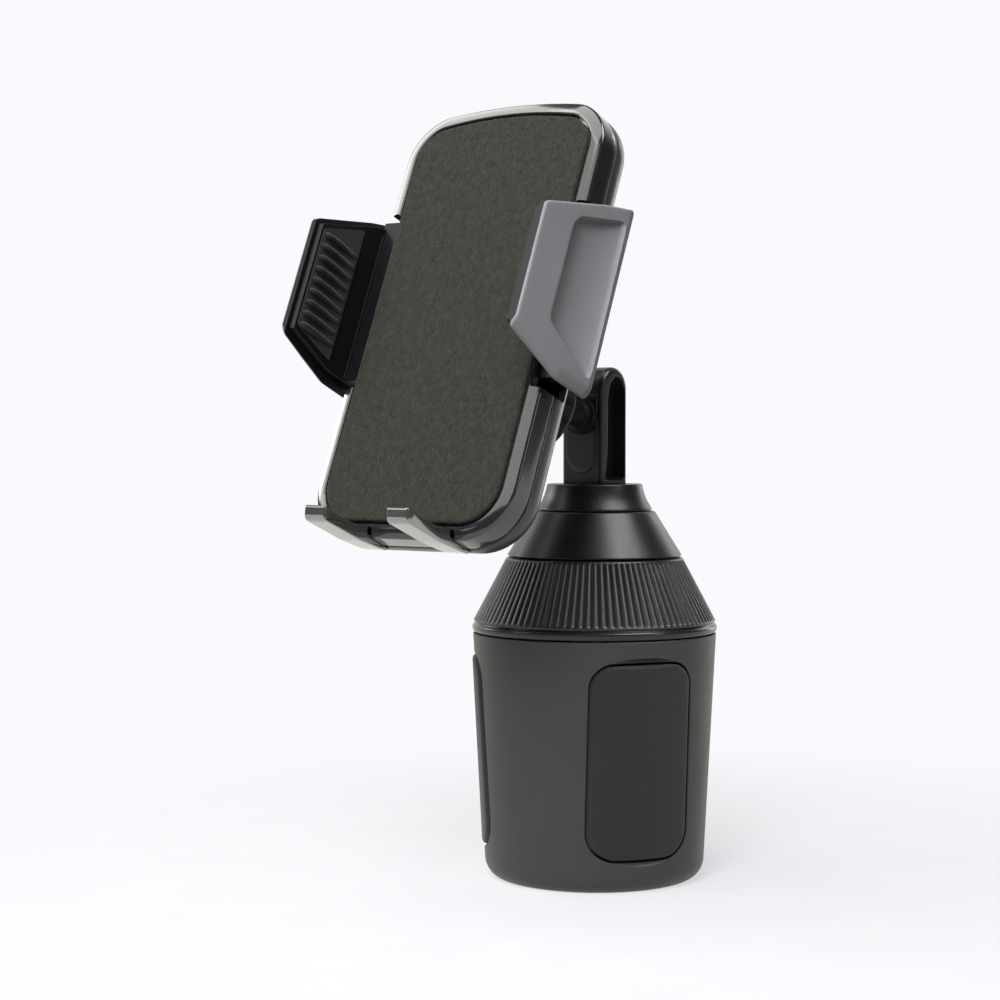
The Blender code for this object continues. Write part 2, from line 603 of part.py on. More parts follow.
def build_stud(post):
    """The ball on its stem, let into the post's front and held by a screw from behind."""
    flange_end, seat, spigot_r, spigot_end = 0.0293, 0.0296, 0.0022, 0.0345
    thread_r = 0.0014
    neck_start = math.sqrt(BALL_R ** 2 - STEM_R ** 2)
    ball = [(BALL_R * math.sin(math.radians(a)), -BALL_R * math.cos(math.radians(a)))
            for a in range(0, 180, 12) if -BALL_R * math.cos(math.radians(a)) < neck_start]
    profile = ball + [(STEM_R, neck_start), (STEM_R, flange_end - 0.0022), (0.0054, flange_end - 0.0020),
                      (0.0054, flange_end), (spigot_r, flange_end), (spigot_r, spigot_end),
                      (thread_r, spigot_end), (thread_r, flange_end - 0.004), (0.0, flange_end - 0.004)]
    profile.reverse()
    turned("ball_stud", profile, STUD_AXIS, "satin_black", SMALL_STEPS)
    cut(post, rod("stud_seat", 0.0057, 0.020, seat, STUD_AXIS, steps=24),
        rod("stud_bore", spigot_r + 0.0002, 0.025, spigot_end + GAP, STUD_AXIS, steps=16),
        rod("stud_screw_bore", 0.0014, 0.030, 0.045, STUD_AXIS),
        rod("stud_screw_sink", 0.0026, 0.0398, 0.045, STUD_AXIS, steps=16))
    screw("stud_screw", 0.0023, 0.0011, 0.0400, 0.0412, 0.0275, STUD_AXIS, (0.0, 0.0))


# ---------------------------------------------------------------- ball joint
def sphere_zone(name, start, end, parent, material):
    """A zone of a thin spherical liner between two angles from +Z."""
    steps = 5
    outer = [(LINER_OUT_R * math.sin(a), LINER_OUT_R * math.cos(a))
             for a in (math.radians(start + (end - start) * i / steps) for i in range(steps + 1))]
    inner = [(LINER_IN_R * math.sin(a), LINER_IN_R * math.cos(a))
             for a in (math.radians(end + (start - end) * i / steps) for i in range(steps + 1))]
    return turned(name, outer + inner, parent, material, SMALL_STEPS)


def build_ball_joint():
    """The liners round the ball, the socket screwed to the back shell, and its lock nut."""
    sphere_zone("friction_ring", 103, 129, PAN_AXIS, "rubber")
    sphere_zone("ball_seat", 16, 62, TILT_AXIS, "nylon")
    top = FACE_OUT + SHELL_REAR - GAP
    sphere = [(SOCKET_SPHERE_R * math.cos(math.radians(a)), SOCKET_SPHERE_R * math.sin(math.radians(a)))
              for a in range(0, 91, 18)]
    flange = 0.0020
    socket = turned("socket_cup", [
        (0.0, top), (SOCKET_FLANGE_R, top), (SOCKET_FLANGE_R, top - flange),
        (SOCKET_BARREL_R, top - flange), (SOCKET_BARREL_R, -0.0010), (SOCKET_SPHERE_R, -0.0010)]
        + sphere[:-1] + [(0.0, SOCKET_SPHERE_R)], CRADLE, "satin_black", 32)
    for number, angle in enumerate((90, 210, 330)):
        at = (0.0151 * math.cos(math.radians(angle)), 0.0151 * math.sin(math.radians(angle)))
        cut(socket, rod(f"socket_hole_{number + 1}", 0.0011, 0.010, 0.020, CRADLE, at=at))
        cut(SHELL[0], rod(f"shell_hole_{number + 1}", 0.0011, 0.010, 0.025, CRADLE, at=at))
        screw(f"socket_screw_{number + 1}", 0.0016, 0.0009, top - flange - 0.0002,
              top - flange - 0.0014, FACE_OUT + SHELL_FLOOR - 0.0003, CRADLE, at)
    lip = [(SOCKET_SPHERE_R * math.sin(math.radians(a)), -SOCKET_SPHERE_R * math.cos(math.radians(a)))
           for a in (56, 65, 74, 82)]
    inner = SOCKET_BARREL_R + GAP
    turned("lock_nut", [(inner, 0.0080), (NUT_R - 0.0006, 0.0080), (NUT_R, 0.0074), (NUT_R, -0.0040),
                        (0.0134, -0.0072), (0.0109, -0.0072)] + lip + [(inner, -0.0014)],
           NUT_AXIS, "satin_black", 32)


# ---------------------------------------------------------------- cradle shells
def face_outline(grow):
    """The fabric face's outline, grown outwards by an amount."""
    return rounded_outline(FACE_HALF_W + grow, FACE_LOW - grow, FACE_HIGH + grow,
                           FACE_LOW_R + grow, FACE_HIGH_R + grow, FACE_CROWN)


def foot_notches():
    """The two slots in the cradle's lower wall that the foot's prongs pass through."""
    clear = PRONG_HALF_W + 0.0004
    return [box(f"foot_notch_{side + 2}", (side * PRONG_AT - clear, -0.0640, NOTCH_REAR),
                (side * PRONG_AT + clear, -0.0585, 0.002), FACE) for side in (-1, 1)]


def side_windows():
    """The two openings in the cradle's sides that the jaws move in."""
    return [box(f"side_window_{side + 2}", (min(side * SIDE_EDGE, side * 0.040), OPENING_LOW, OPENING_REAR),
                (max(side * SIDE_EDGE, side * 0.040), SIDE_HIGH, 0.002), FACE) for side in (-1, 1)]


def build_back_shell():
    """The tray behind the cradle, with screw bosses, the pinion's boss and the button's hole."""
    shell = prism("back_shell", face_outline(BEZEL_MARGIN), SHELL_REAR, SHELL_FRONT, FACE, "satin_black",
                  round_start=SHELL_ROUND, round_steps=6)
    hollow = prism("shell_hollow", face_outline(BEZEL_MARGIN - SHELL_WALL), SHELL_FLOOR, -0.0070, FACE,
                   round_start=SHELL_ROUND - SHELL_WALL, round_steps=6)
    cut(shell, hollow, *foot_notches(), *side_windows())
    boss_top = SHELL_FRONT - GAP
    for number, at in enumerate(CRADLE_SCREWS):
        join(shell, rod(f"shell_boss_{number + 1}", 0.0030, SHELL_FLOOR - 0.0005, boss_top, FACE, at=at,
                        steps=12))
        cut(shell, rod(f"shell_screw_hole_{number + 1}", 0.0012, -0.019, -0.0070, FACE, at=at),
            rod(f"shell_screw_sink_{number + 1}", 0.0025, -0.019, -0.0166, FACE, at=at, steps=12))
        screw(f"cradle_screw_{number + 1}", 0.0022, 0.0010, -0.0169, -0.0178, -0.0052, FACE, at)
    pivot = (0.0, PINION_UP)
    join(shell, rod("pin_boss", 0.0030, SHELL_FLOOR - 0.0005, -0.0125, FACE, at=pivot, steps=16))
    cut(shell, rod("pin_boss_bore", PINION_PIN_R + 0.0001, -0.0155, -0.011, FACE, at=pivot, steps=16),
        rod("button_hole", BUTTON_R + GAP, -0.020, -0.011, FACE, at=(0.0, BUTTON_UP), steps=24))
    SHELL.append(shell)


def build_front_bezel():
    """The glossy front frame: a recess for the fabric, side windows and two foot notches."""
    bezel = prism("front_bezel", face_outline(BEZEL_MARGIN), BEZEL_REAR, BEZEL_FRONT, FACE, "gloss_black",
                  round_end=BEZEL_ROUND, round_steps=4)
    recess = prism("recess", face_outline(0.0), RECESS_FLOOR, 0.001, FACE)
    hollow = prism("bezel_hollow", face_outline(BEZEL_MARGIN - SHELL_WALL), -0.0130, FRONT_PLATE, FACE)
    cut(bezel, recess, hollow)
    for number, at in enumerate(CRADLE_SCREWS):
        join(bezel, rod(f"bezel_boss_{number + 1}", 0.0029, BEZEL_REAR, FRONT_PLATE + 0.0005, FACE, at=at,
                        steps=12))
        cut(bezel, rod(f"bezel_boss_hole_{number + 1}", 0.0012, -0.013, -0.0047, FACE, at=at))
    pivot = (0.0, PINION_UP)
    join(bezel, rod("pin_front_boss", 0.0030, -0.0066, FRONT_PLATE + 0.0005, FACE, at=pivot, steps=16))
    cut(bezel, rod("pin_front_bore", PINION_PIN_R + 0.0001, -0.008, -0.0040, FACE, at=pivot, steps=16))
    join(bezel, rod("spring_peg", 0.0018, -0.0090, FRONT_PLATE + 0.0005, FACE, at=(0.0, BUTTON_UP)))
    cut(bezel, *foot_notches(), *side_windows())


def build_face():
    """The foam sheet and the fabric that cover the recess."""
    prism("foam_sheet", face_outline(-GAP), RECESS_FLOOR + GAP, -0.0012, FACE, "foam")
    prism("fabric_pad", face_outline(-GAP), -0.0009, 0.0, FACE, "fabric", round_end=0.0003, round_steps=1)


# ---------------------------------------------------------------- clamp
def involute(angle):
    """The involute function of a pressure angle."""
    return math.tan(angle) - angle


def pinion_outline():
    """Involute teeth about the origin, one of them pointing up."""
    base_r = PITCH_R * math.cos(PRESSURE_ANGLE)
    half_at_pitch = (math.pi * TOOTH_MODULE / 4 - TOOTH_BACKLASH) / PITCH_R
    flank = []
    for radius in (PITCH_R - 1.15 * TOOTH_MODULE, base_r, PITCH_R, PITCH_R + 0.85 * TOOTH_MODULE):
        pressure = math.acos(min(1.0, base_r / radius))
        flank.append((radius, half_at_pitch + involute(PRESSURE_ANGLE) - involute(pressure)))
    points = []
    for tooth in range(PINION_TEETH):
        middle = math.pi / 2 + math.tau * tooth / PINION_TEETH
        points += [(r * math.cos(middle - a), r * math.sin(middle - a)) for r, a in flank]
        points += [(r * math.cos(middle + a), r * math.sin(middle + a)) for r, a in reversed(flank)]
    return [(x, y + PINION_UP) for x, y in points]


def rack_outline(side):
    """A rack with its teeth towards the pinion: above it for the left arm, below it for the right."""
    pitch = math.pi * TOOTH_MODULE
    half = pitch / 4 - TOOTH_BACKLASH
    addendum, dedendum = 0.70 * TOOTH_MODULE, 1.10 * TOOTH_MODULE
    tip = half - addendum * math.tan(PRESSURE_ANGLE)
    root = half + dedendum * math.tan(PRESSURE_ANGLE)
    first = -math.ceil((RACK_REACH - pitch) / pitch) + 0.5
    teeth = []
    centre = first * pitch
    while centre + root < RACK_REACH:
        teeth += [(centre - root, dedendum), (centre - tip, -addendum), (centre + tip, -addendum),
                  (centre + root, dedendum)]
        centre += pitch
    end = RACK_REACH
    outline = [(-0.0260, dedendum)] + teeth + [(end, dedendum), (end, RACK_HEIGHT), (-0.0260, RACK_HEIGHT)]
    return [(-side * x, PINION_UP - side * (PITCH_R + y)) for x, y in outline]


def lean(obj):
    """Shear a jaw piece so that its front edge leans towards the phone."""
    for vert in obj.data.vertices:
        side = 1 if vert.co.x > 0 else -1
        vert.co.x -= side * JAW_LEAN * (vert.co.z - JAW_LEAN_FROM)
    return obj


def slab(name, outline, inner, outer, side, material=None):
    """A jaw piece: an outline seen from the side, between two distances from the centre line."""
    start, end = sorted((side * inner, side * outer))
    return lean(prism(name, outline, start, end, JAWS[side], material, SIDE_ON))


def build_jaw(side, label):
    """One clamp jaw: the arm with its rack and core plate, the outer cover and the ribbed liner."""
    parent = JAWS[side]
    arm_ends = sorted((side * ARM_INNER, side * ARM_OUTER))
    arm = box(f"{label}_arm", (arm_ends[0], SIDE_LOW + SIDE_CLEAR, ARM_REAR),
              (arm_ends[1], SIDE_HIGH - SIDE_CLEAR, ARM_FRONT), parent, "inner_black")
    core = slab(f"{label}_core", JAW_CORE, CORE_INNER, CORE_OUTER, side)
    rack = prism(f"{label}_rack", rack_outline(side), RACK_REAR, RACK_FRONT, parent)
    web_ends = sorted((side * WEB_INNER, side * WEB_OUTER))
    web_middle = PINION_UP - side * (PITCH_R + RACK_HEIGHT / 2 + 0.0004)
    web = box(f"{label}_web", (web_ends[0], web_middle - WEB_HALF_W, RACK_REAR + GAP),
              (web_ends[1], web_middle + WEB_HALF_W, ARM_REAR + 0.0008), parent)
    gusset = slab(f"{label}_gusset", ((-0.0105, 0.0330), (-0.0105, -0.0145), (-0.0035, -0.0145),
                                      (-0.0035, 0.0290)), 0.0362, CORE_INNER + 0.0006, side)
    join(arm, core, gusset, web)
    boolean(arm, "UNION", rack, solver="MANIFOLD")
    hole = slab(f"{label}_eye", obround(-0.0096, -0.0084, 0.0011, -0.0105), 0.034, 0.044, side)
    cut(arm, hole)

    cover = slab(f"{label}_jaw_cover", JAW_COVER, COVER_INNER, COVER_OUTER, side, "jaw_grey")
    cut(cover, slab(f"{label}_scoop", JAW_SCOOP, COVER_OUTER - SCOOP_DEPTH, COVER_OUTER + 0.002, side))
    cover_eye = slab(f"{label}_cover_eye", obround(-0.0096, -0.0084, 0.0011, -0.0105), 0.034, 0.044, side)
    cut(cover, cover_eye)

    liner = slab(f"{label}_grip_liner", JAW_LINER, LINER_INNER, LINER_OUTER, side, "rubber")
    for number in range(RIB_COUNT):
        height = RIB_LOWEST + number * RIB_PITCH
        rib = slab(f"{label}_rib_{number + 1}", ((0.0058, height - RIB_HALF_W), (0.0192, height - RIB_HALF_W),
                                                 (0.0192, height + RIB_HALF_W), (0.0058, height + RIB_HALF_W)),
                   RIB_INNER, LINER_INNER + 0.0003, side)
        join(liner, rib)


def coil(name, centre, radius, wire_r, start, end, turns, parent):
    """A helical spring along Z."""
    per_turn = 10
    curve = bpy.data.curves.new(name, "CURVE")
    curve.dimensions = "3D"
    curve.bevel_depth = wire_r
    curve.bevel_resolution = 1
    curve.use_fill_caps = True
    spline = curve.splines.new("POLY")
    count = int(turns * per_turn)
    spline.points.add(count)
    for i, point in enumerate(spline.points):
        angle = math.tau * i / per_turn
        point.co = (centre[0] + radius * math.cos(angle), centre[1] + radius * math.sin(angle),
                    start + (end - start) * i / count, 1.0)
    curve.materials.append(look("steel"))
    obj = bpy.data.objects.new(name, curve)
    obj.parent = parent
    PARTS.objects.link(obj)
    weld = obj.modifiers.new("caps", "WELD")
    weld.merge_threshold = 0.000005
    return obj


def build_mechanism():
    """The pinion and its pin, both springs, the release button and the foot bracket."""
    pinion = prism("pinion", pinion_outline(), RACK_REAR, RACK_FRONT, FACE, "nylon")
    cut(pinion, rod("pinion_bore", PINION_PIN_R + 0.0001, -0.012, -0.006, FACE, at=(0.0, PINION_UP), steps=16))
    rod("pinion_pin", PINION_PIN_R, -0.0153, -0.0043, FACE, "steel", at=(0.0, PINION_UP), steps=16)
    coil("jaw_spring", (0.0, PINION_UP), 0.0045, 0.00035, -0.0152, -0.0115, 3, FACE)

    button = turned("release_button", [
        (0.0, -0.0145), (BUTTON_FLANGE_R, -0.0145), (BUTTON_FLANGE_R, -0.0155), (BUTTON_R, -0.0155),
        (BUTTON_R, -0.0193), (BUTTON_R - 0.0007, -0.0200), (0.0, -0.0200)],
        FACE, "gloss_black", 24, (0.0, BUTTON_UP, 0.0))
    join(button, box("pawl", (-0.0020, 0.0214, -0.0150), (0.0020, 0.0285, -0.0085), FACE))
    coil("button_spring", (0.0, BUTTON_UP), 0.0027, SPRING_WIRE_R, -0.0139, -0.0045, 4, FACE)

    foot = box("foot_bracket", (-0.0175, -0.0460, -0.0092), (0.0175, -0.0360, -0.0066), FACE, "gloss_black")
    for side in (-1, 1):
        middle = side * PRONG_AT
        join(foot, prism(f"prong_{side + 2}", PRONG, middle - PRONG_HALF_W, middle + PRONG_HALF_W,
                         FACE, None, SIDE_ON))


# ---------------------------------------------------------------- assembly
clear_scene()
PARTS = new_collection("phone_mount")
CUTTERS = new_collection("cutters")
SPOKES = [empty(f"pad_slide_{i + 1}", rotation=(0, 0, math.radians(a))) for i, a in enumerate(PAD_ANGLES)]
BOSS_SPOKES = []
SHELL = []
RING_AXIS = empty("ring_axis")
NECK_AXIS = empty("neck_axis")
STUD_AXIS = empty("stud_axis", BALL_CENTRE, (-math.pi / 2 - STEM_FALL, 0, 0), NECK_AXIS)
FACE_TURN = (math.pi / 2 - CRADLE_TILT, 0, 0)
PAN_AXIS = empty("pan_axis", BALL_CENTRE, FACE_TURN, NECK_AXIS)
TILT_AXIS = empty("tilt_axis", BALL_CENTRE, FACE_TURN, NECK_AXIS)
CRADLE = empty("cradle_axis", BALL_CENTRE, FACE_TURN, NECK_AXIS)
NUT_AXIS = empty("nut_axis", parent=CRADLE)
FACE = empty("face_centre", (0.0, FACE_UP, FACE_OUT), parent=CRADLE)
JAWS = {-1: empty("left_jaw_slide", parent=FACE), 1: empty("right_jaw_slide", parent=FACE)}

build_cup()
build_deck()
for index, pad_spoke in enumerate(SPOKES):
    build_pad(index + 1, pad_spoke)
build_ring()
build_cone()
build_neck()
build_back_shell()
build_front_bezel()
build_face()
build_ball_joint()
build_jaw(-1, "left")
build_jaw(1, "right")
build_mechanism()
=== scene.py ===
"""Looks of the cup-holder phone mount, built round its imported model.

Metres, +Z up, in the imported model's own frame.  Cradle pieces are drawn in the cradle face's
frame: X to the right, Y up the face, Z out of it, from the centre of the cloth.
"""
import json
import math

import bmesh
import bpy
import numpy as np
from mathutils import Matrix, Vector
from mathutils.geometry import delaunay_2d_cdt


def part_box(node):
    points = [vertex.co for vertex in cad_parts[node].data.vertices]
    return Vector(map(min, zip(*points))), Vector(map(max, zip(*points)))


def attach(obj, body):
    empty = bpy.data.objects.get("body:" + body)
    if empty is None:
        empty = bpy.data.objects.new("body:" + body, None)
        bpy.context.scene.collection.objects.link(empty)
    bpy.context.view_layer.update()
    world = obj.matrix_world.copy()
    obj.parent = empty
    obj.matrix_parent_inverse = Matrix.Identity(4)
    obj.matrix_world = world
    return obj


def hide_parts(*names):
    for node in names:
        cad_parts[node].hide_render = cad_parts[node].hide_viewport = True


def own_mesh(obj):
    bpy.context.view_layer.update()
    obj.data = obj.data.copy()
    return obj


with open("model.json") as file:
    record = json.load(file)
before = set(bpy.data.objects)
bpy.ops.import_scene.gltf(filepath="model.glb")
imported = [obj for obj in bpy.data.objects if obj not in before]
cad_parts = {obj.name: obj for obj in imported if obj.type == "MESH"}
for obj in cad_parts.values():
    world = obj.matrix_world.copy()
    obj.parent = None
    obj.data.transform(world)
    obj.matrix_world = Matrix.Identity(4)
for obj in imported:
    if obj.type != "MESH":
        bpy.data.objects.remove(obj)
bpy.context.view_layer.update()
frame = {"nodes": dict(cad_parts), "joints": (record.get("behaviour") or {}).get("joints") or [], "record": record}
MOUNTS = {mount["name"]: mount for mount in frame["record"]["mounts"]}
JOINTS = {joint["name"]: joint for joint in frame["joints"]}

# ---------------------------------------------------------------- places taken from the frame
FACE_CENTRE = Vector(MOUNTS["phone_back_rest"]["pos_m"])
FACE_OUT = Vector(MOUNTS["phone_back_rest"]["axis"]).normalized()
FACE_RIGHT = Vector((1.0, 0.0, 0.0))
FACE_UP = FACE_OUT.cross(FACE_RIGHT)
BALL = Vector(JOINTS["ball_pan"]["pos_m"])


def axes_matrix(origin, x_axis, y_axis, z_axis):
    """A matrix from local axes and an origin."""
    matrix = Matrix((x_axis, y_axis, z_axis)).transposed().to_4x4()
    matrix.translation = origin
    return matrix


FACE = axes_matrix(FACE_CENTRE, FACE_RIGHT, FACE_UP, FACE_OUT)
SOCKET = axes_matrix(BALL, FACE_RIGHT, FACE_UP, FACE_OUT)
WORLD = Matrix.Identity(4)
TURNED_OVER = Matrix.Rotation(math.pi, 4, "X")     # for screws that face out of the cradle's back


# ---------------------------------------------------------------- materials
MIX_FACTOR, MIX_FIRST, MIX_SECOND, MIX_RESULT = 0, 6, 7, 2       # a Mix node's sockets for colours


def add_node(tree, kind, output, inputs, **settings):
    """Add a node to a tree, set its properties and inputs, and return one of its outputs."""
    made = tree.nodes.new(kind)
    for key, value in settings.items():
        setattr(made, key, value)
    for key, value in inputs.items():
        if isinstance(value, bpy.types.NodeSocket):
            tree.links.new(value, made.inputs[key])
        else:
            made.inputs[key].default_value = value
    return made.outputs[output]


class Shader:
    """A node material with a Principled shader, object coordinates and short node calls."""

    def __init__(self, name, roughness=0.5, metallic=0.0, specular=0.5, **sockets):
        self.material = bpy.data.materials.new(name)
        self.material.use_nodes = True
        self.tree = self.material.node_tree
        self.out = self.tree.nodes["Principled BSDF"]
        self.out.inputs["Roughness"].default_value = roughness
        self.out.inputs["Metallic"].default_value = metallic
        self.out.inputs["Specular IOR Level"].default_value = specular
        for key, value in sockets.items():
            self.out.inputs[key.replace("_", " ")].default_value = value
        self.where = self.tree.nodes.new("ShaderNodeTexCoord").outputs["Object"]

    def node(self, kind, output, inputs, **settings):
        """Add a node to this material."""
        return add_node(self.tree, kind, output, inputs, **settings)

    def scaled(self, scale, turn=(0.0, 0.0, 0.0)):
        """Object coordinates times a scale."""
        return self.node("ShaderNodeMapping", "Vector",
                         {"Vector": self.where, "Scale": scale, "Rotation": turn})

    def noise(self, scale, detail=4.0, where=None, rough=0.55):
        """Noise at a number of cycles to a metre, or along stretched coordinates."""
        return self.node("ShaderNodeTexNoise", "Fac", {
            "Vector": where or self.where, "Scale": scale, "Detail": detail, "Roughness": rough})

    def ramp(self, value, stops):
        """A colour ramp over a value; stops are (position, colour or grey)."""
        made = self.tree.nodes.new("ShaderNodeValToRGB")
        elements = made.color_ramp.elements
        while len(elements) < len(stops):
            elements.new(0.5)
        for element, (position, colour) in zip(elements, stops):
            element.position = position
            colour = (colour,) * 3 if isinstance(colour, float) else colour
            element.color = (*colour, 1.0)
        self.tree.links.new(value, made.inputs["Fac"])
        return made.outputs["Color"]

    def mix(self, amount, first, second, blend="MIX"):
        """Mix two colours, given as sockets or as RGB."""
        first, second = (value if isinstance(value, bpy.types.NodeSocket) else (*value, 1.0)
                         for value in (first, second))
        inputs = {MIX_FACTOR: amount, MIX_FIRST: first, MIX_SECOND: second}
        return self.node("ShaderNodeMix", MIX_RESULT, inputs, data_type="RGBA", blend_type=blend)

    def math(self, operation, first, second=0.0, third=0.0):
        """One math node."""
        return self.node("ShaderNodeMath", 0, {0: first, 1: second, 2: third}, operation=operation)

    def bump(self, height, distance, strength=1.0, under=None):
        """A bump of a height in metres, on top of another one if given."""
        inputs = {"Height": height, "Distance": distance, "Strength": strength}
        if under is not None:
            inputs["Normal"] = under
        return self.node("ShaderNodeBump", "Normal", inputs)

    def set(self, socket, value):
        """Link a varying value to the shader."""
        self.tree.links.new(value, self.out.inputs[socket])


def grey(colour, factor):
    """A colour scaled by a factor."""
    return tuple(channel * factor for channel in colour)


def moulded(name, colour, roughness, depth=0.00003, specular=0.5):
    """Moulded plastic: a fine spark-eroded grain, faint cloudiness and handling marks."""
    shader = Shader(name, specular=specular)
    cloud = shader.noise(38.0, 5.0)
    speck = shader.noise(2600.0, 2.0)
    tone = shader.ramp(cloud, ((0.25, grey(colour, 0.84)), (0.75, grey(colour, 1.16))))
    fleck = shader.ramp(speck, ((0.3, grey(colour, 0.86)), (0.7, grey(colour, 1.14))))
    shader.set("Base Color", shader.mix(0.5, tone, fleck))
    marks = shader.noise(7.0, 3.0, shader.scaled((22.0, 22.0, 7.0)), 0.7)
    shader.set("Roughness", shader.math("MULTIPLY_ADD", marks, 0.16, roughness - 0.08))
    shader.set("Normal", shader.bump(speck, depth, 0.6))
    return shader.material


def polished(name, colour, roughness=0.10, coat=0.6, coat_ior=1.5):
    """Polished plastic: nearly smooth, with soft flow waviness, smudges and a few hairline rubs."""
    shader = Shader(name, specular=0.6, Coat_Weight=coat, Coat_Roughness=0.05, Coat_IOR=coat_ior)
    flow = shader.noise(24.0, 2.0)
    smudge = shader.noise(60.0, 6.0, rough=0.65)
    rubs = shader.noise(1.0, 4.0, shader.scaled((900.0, 60.0, 900.0), (0.0, 0.0, 0.5)), 0.8)
    shader.set("Base Color", shader.ramp(smudge, ((0.3, grey(colour, 0.9)), (0.8, grey(colour, 1.5)))))
    worn = shader.math("MULTIPLY_ADD", smudge, 0.10, roughness - 0.03)
    shader.set("Roughness", shader.math("MULTIPLY_ADD", rubs, 0.04, worn))
    shader.set("Normal", shader.bump(flow, 0.00003, 0.25))
    return shader.material


def rubbery(name, colour):
    """Matte rubber: a stippled skin that holds a little dust."""
    shader = Shader(name, specular=0.35, Sheen_Weight=0.12, Sheen_Roughness=0.5)
    stipple = shader.noise(3400.0, 3.0)
    dust = shader.noise(90.0, 6.0, rough=0.7)
    film = shader.ramp(dust, ((0.35, grey(colour, 0.85)), (0.75, grey(colour, 1.25))))
    dots = shader.ramp(stipple, ((0.35, grey(colour, 0.8)), (0.65, grey(colour, 1.2))))
    shader.set("Base Color", shader.mix(0.4, film, dots))
    shader.set("Roughness", shader.math("MULTIPLY_ADD", dust, 0.18, 0.56))
    shader.set("Normal", shader.bump(stipple, 0.00005, 0.7))
    return shader.material


def woven(name, colour):
    """Heathered plain weave: crossed yarns with painted shade in the hollows between them, uneven dye and darker
    slubs along the warp.
    """
    yarn = 0.00064
    shader = Shader(name, 0.95, specular=0.2, Sheen_Weight=0.10, Sheen_Roughness=0.4)
    split = shader.node("ShaderNodeSeparateXYZ", "X", {"Vector": shader.where})
    axes = split.node.outputs
    wobble = shader.noise(700.0, 2.0)
    phases = []
    for axis in ("X", "Y"):
        place = shader.math("MULTIPLY", axes[axis], math.tau / yarn)
        phases.append(shader.math("MULTIPLY_ADD", wobble, 1.3, place))
    warp = shader.math("SINE", phases[0])
    weft = shader.math("SINE", phases[1])
    cross = shader.math("MULTIPLY", warp, weft)
    height = shader.math("MULTIPLY_ADD", cross, 0.5, 0.5)
    slub = shader.noise(1.0, 3.0, shader.scaled((1500.0, 520.0, 900.0)), 0.70)
    streak = shader.noise(1.0, 4.0, shader.scaled((900.0, 280.0, 400.0)), 0.6)
    dye = shader.noise(420.0, 5.0, rough=0.7)
    tone = shader.ramp(dye, ((0.28, grey(colour, 0.70)), (0.72, grey(colour, 1.32))))
    tone = shader.mix(shader.ramp(slub, ((0.50, 0.0), (0.66, 0.65))), tone, grey(colour, 0.42))
    tone = shader.mix(shader.ramp(streak, ((0.55, 0.0), (0.78, 0.40))), tone, grey(colour, 1.75))
    # painted shade: the yarn colour darkens in the hollows of the weave and lightens a little, a painted
    # highlight, on the yarn tops
    shade = shader.ramp(height, ((0.0, 0.62), (0.8, 1.12)))
    shader.set("Base Color", shader.mix(1.0, tone, shade, "MULTIPLY"))
    fine = shader.bump(shader.noise(5200.0, 2.0), 0.00004, 0.5)
    shader.set("Normal", shader.bump(height, 0.00018, 0.8, fine))
    return shader.material


def metal(name, colour, roughness=0.32):
    """Zinc-plated steel with fine turning marks."""
    shader = Shader(name, metallic=1.0)
    marks = shader.noise(1.0, 3.0, shader.scaled((1500.0, 1500.0, 9000.0)), 0.6)
    plating = shader.noise(300.0, 3.0)
    shader.set("Base Color", shader.ramp(plating, ((0.3, grey(colour, 0.85)), (0.7, grey(colour, 1.1)))))
    shader.set("Roughness", shader.math("MULTIPLY_ADD", marks, 0.2, roughness - 0.1))
    shader.set("Normal", shader.bump(marks, 0.00002, 0.3))
    return shader.material


LOOKS = {
    "cup": moulded("cup_plastic", (0.035, 0.038, 0.035), 0.46, specular=0.45),
    "satin": moulded("satin_black_plastic", (0.0085, 0.0090, 0.0090), 0.34, depth=0.00001),
    "knurl": moulded("knurl_plastic", (0.012, 0.012, 0.013), 0.34, depth=0.00001, specular=0.6),
    "rim": moulded("rim_plastic", (0.010, 0.011, 0.011), 0.26, depth=0.0),
    # painted shade: the ball, socket and lock nut get a darker, duller black than the satin parts, standing in for
    # the shade they sit in behind the cradle
    "socket": moulded("socket_plastic_painted_shade", (0.006, 0.006, 0.006), 0.60, specular=0.12),
    "gloss": polished("gloss_black_plastic", (0.010, 0.011, 0.013)),
    "shell": moulded("shell_plastic", (0.040, 0.039, 0.046), 0.30, depth=0.00001),
    "jaw": moulded("jaw_plastic", (0.270, 0.265, 0.287), 0.48, depth=0.00001, specular=0.03),
    "inner": moulded("inner_plastic", (0.005, 0.006, 0.007), 0.38, depth=0.00001, specular=0.4),
    "pad": rubbery("pad_rubber", (0.016, 0.018, 0.021)),
    "grip": rubbery("grip_rubber", (0.010, 0.010, 0.011)),
    "cloth": woven("face_cloth", (0.034, 0.034, 0.029)),
    "foam": rubbery("foam_sheet_skin", (0.050, 0.050, 0.050)),
    "nylon": moulded("natural_nylon", (0.55, 0.53, 0.47), 0.42),
    "prong": polished("prong_plastic", (0.045, 0.045, 0.046), 0.14, 1.0, 2.8),
    "steel": metal("plated_steel", (0.56, 0.56, 0.58)),
}


# ---------------------------------------------------------------- mesh tools
def soften(points, radius, steps=4, closed=True, limit=12.0):
    """Round the corners of a flat outline with short curves."""
    made = []
    count = len(points)
    for index, point in enumerate(points):
        here = Vector(point)
        before, after = Vector(points[index - 1]), Vector(points[(index + 1) % count])
        ends = not closed and index in (0, count - 1)
        if ends or (here - before).angle(after - here) < math.radians(limit):
            made.append(here)
            continue
        back, ahead = before - here, after - here
        reach = min(radius, 0.48 * back.length, 0.48 * ahead.length)
        start, end = here + back.normalized() * reach, here + ahead.normalized() * reach
        for step in range(steps + 1):
            t = step / steps
            made.append(start * (1 - t) ** 2 + here * 2 * t * (1 - t) + end * t * t)
    return made


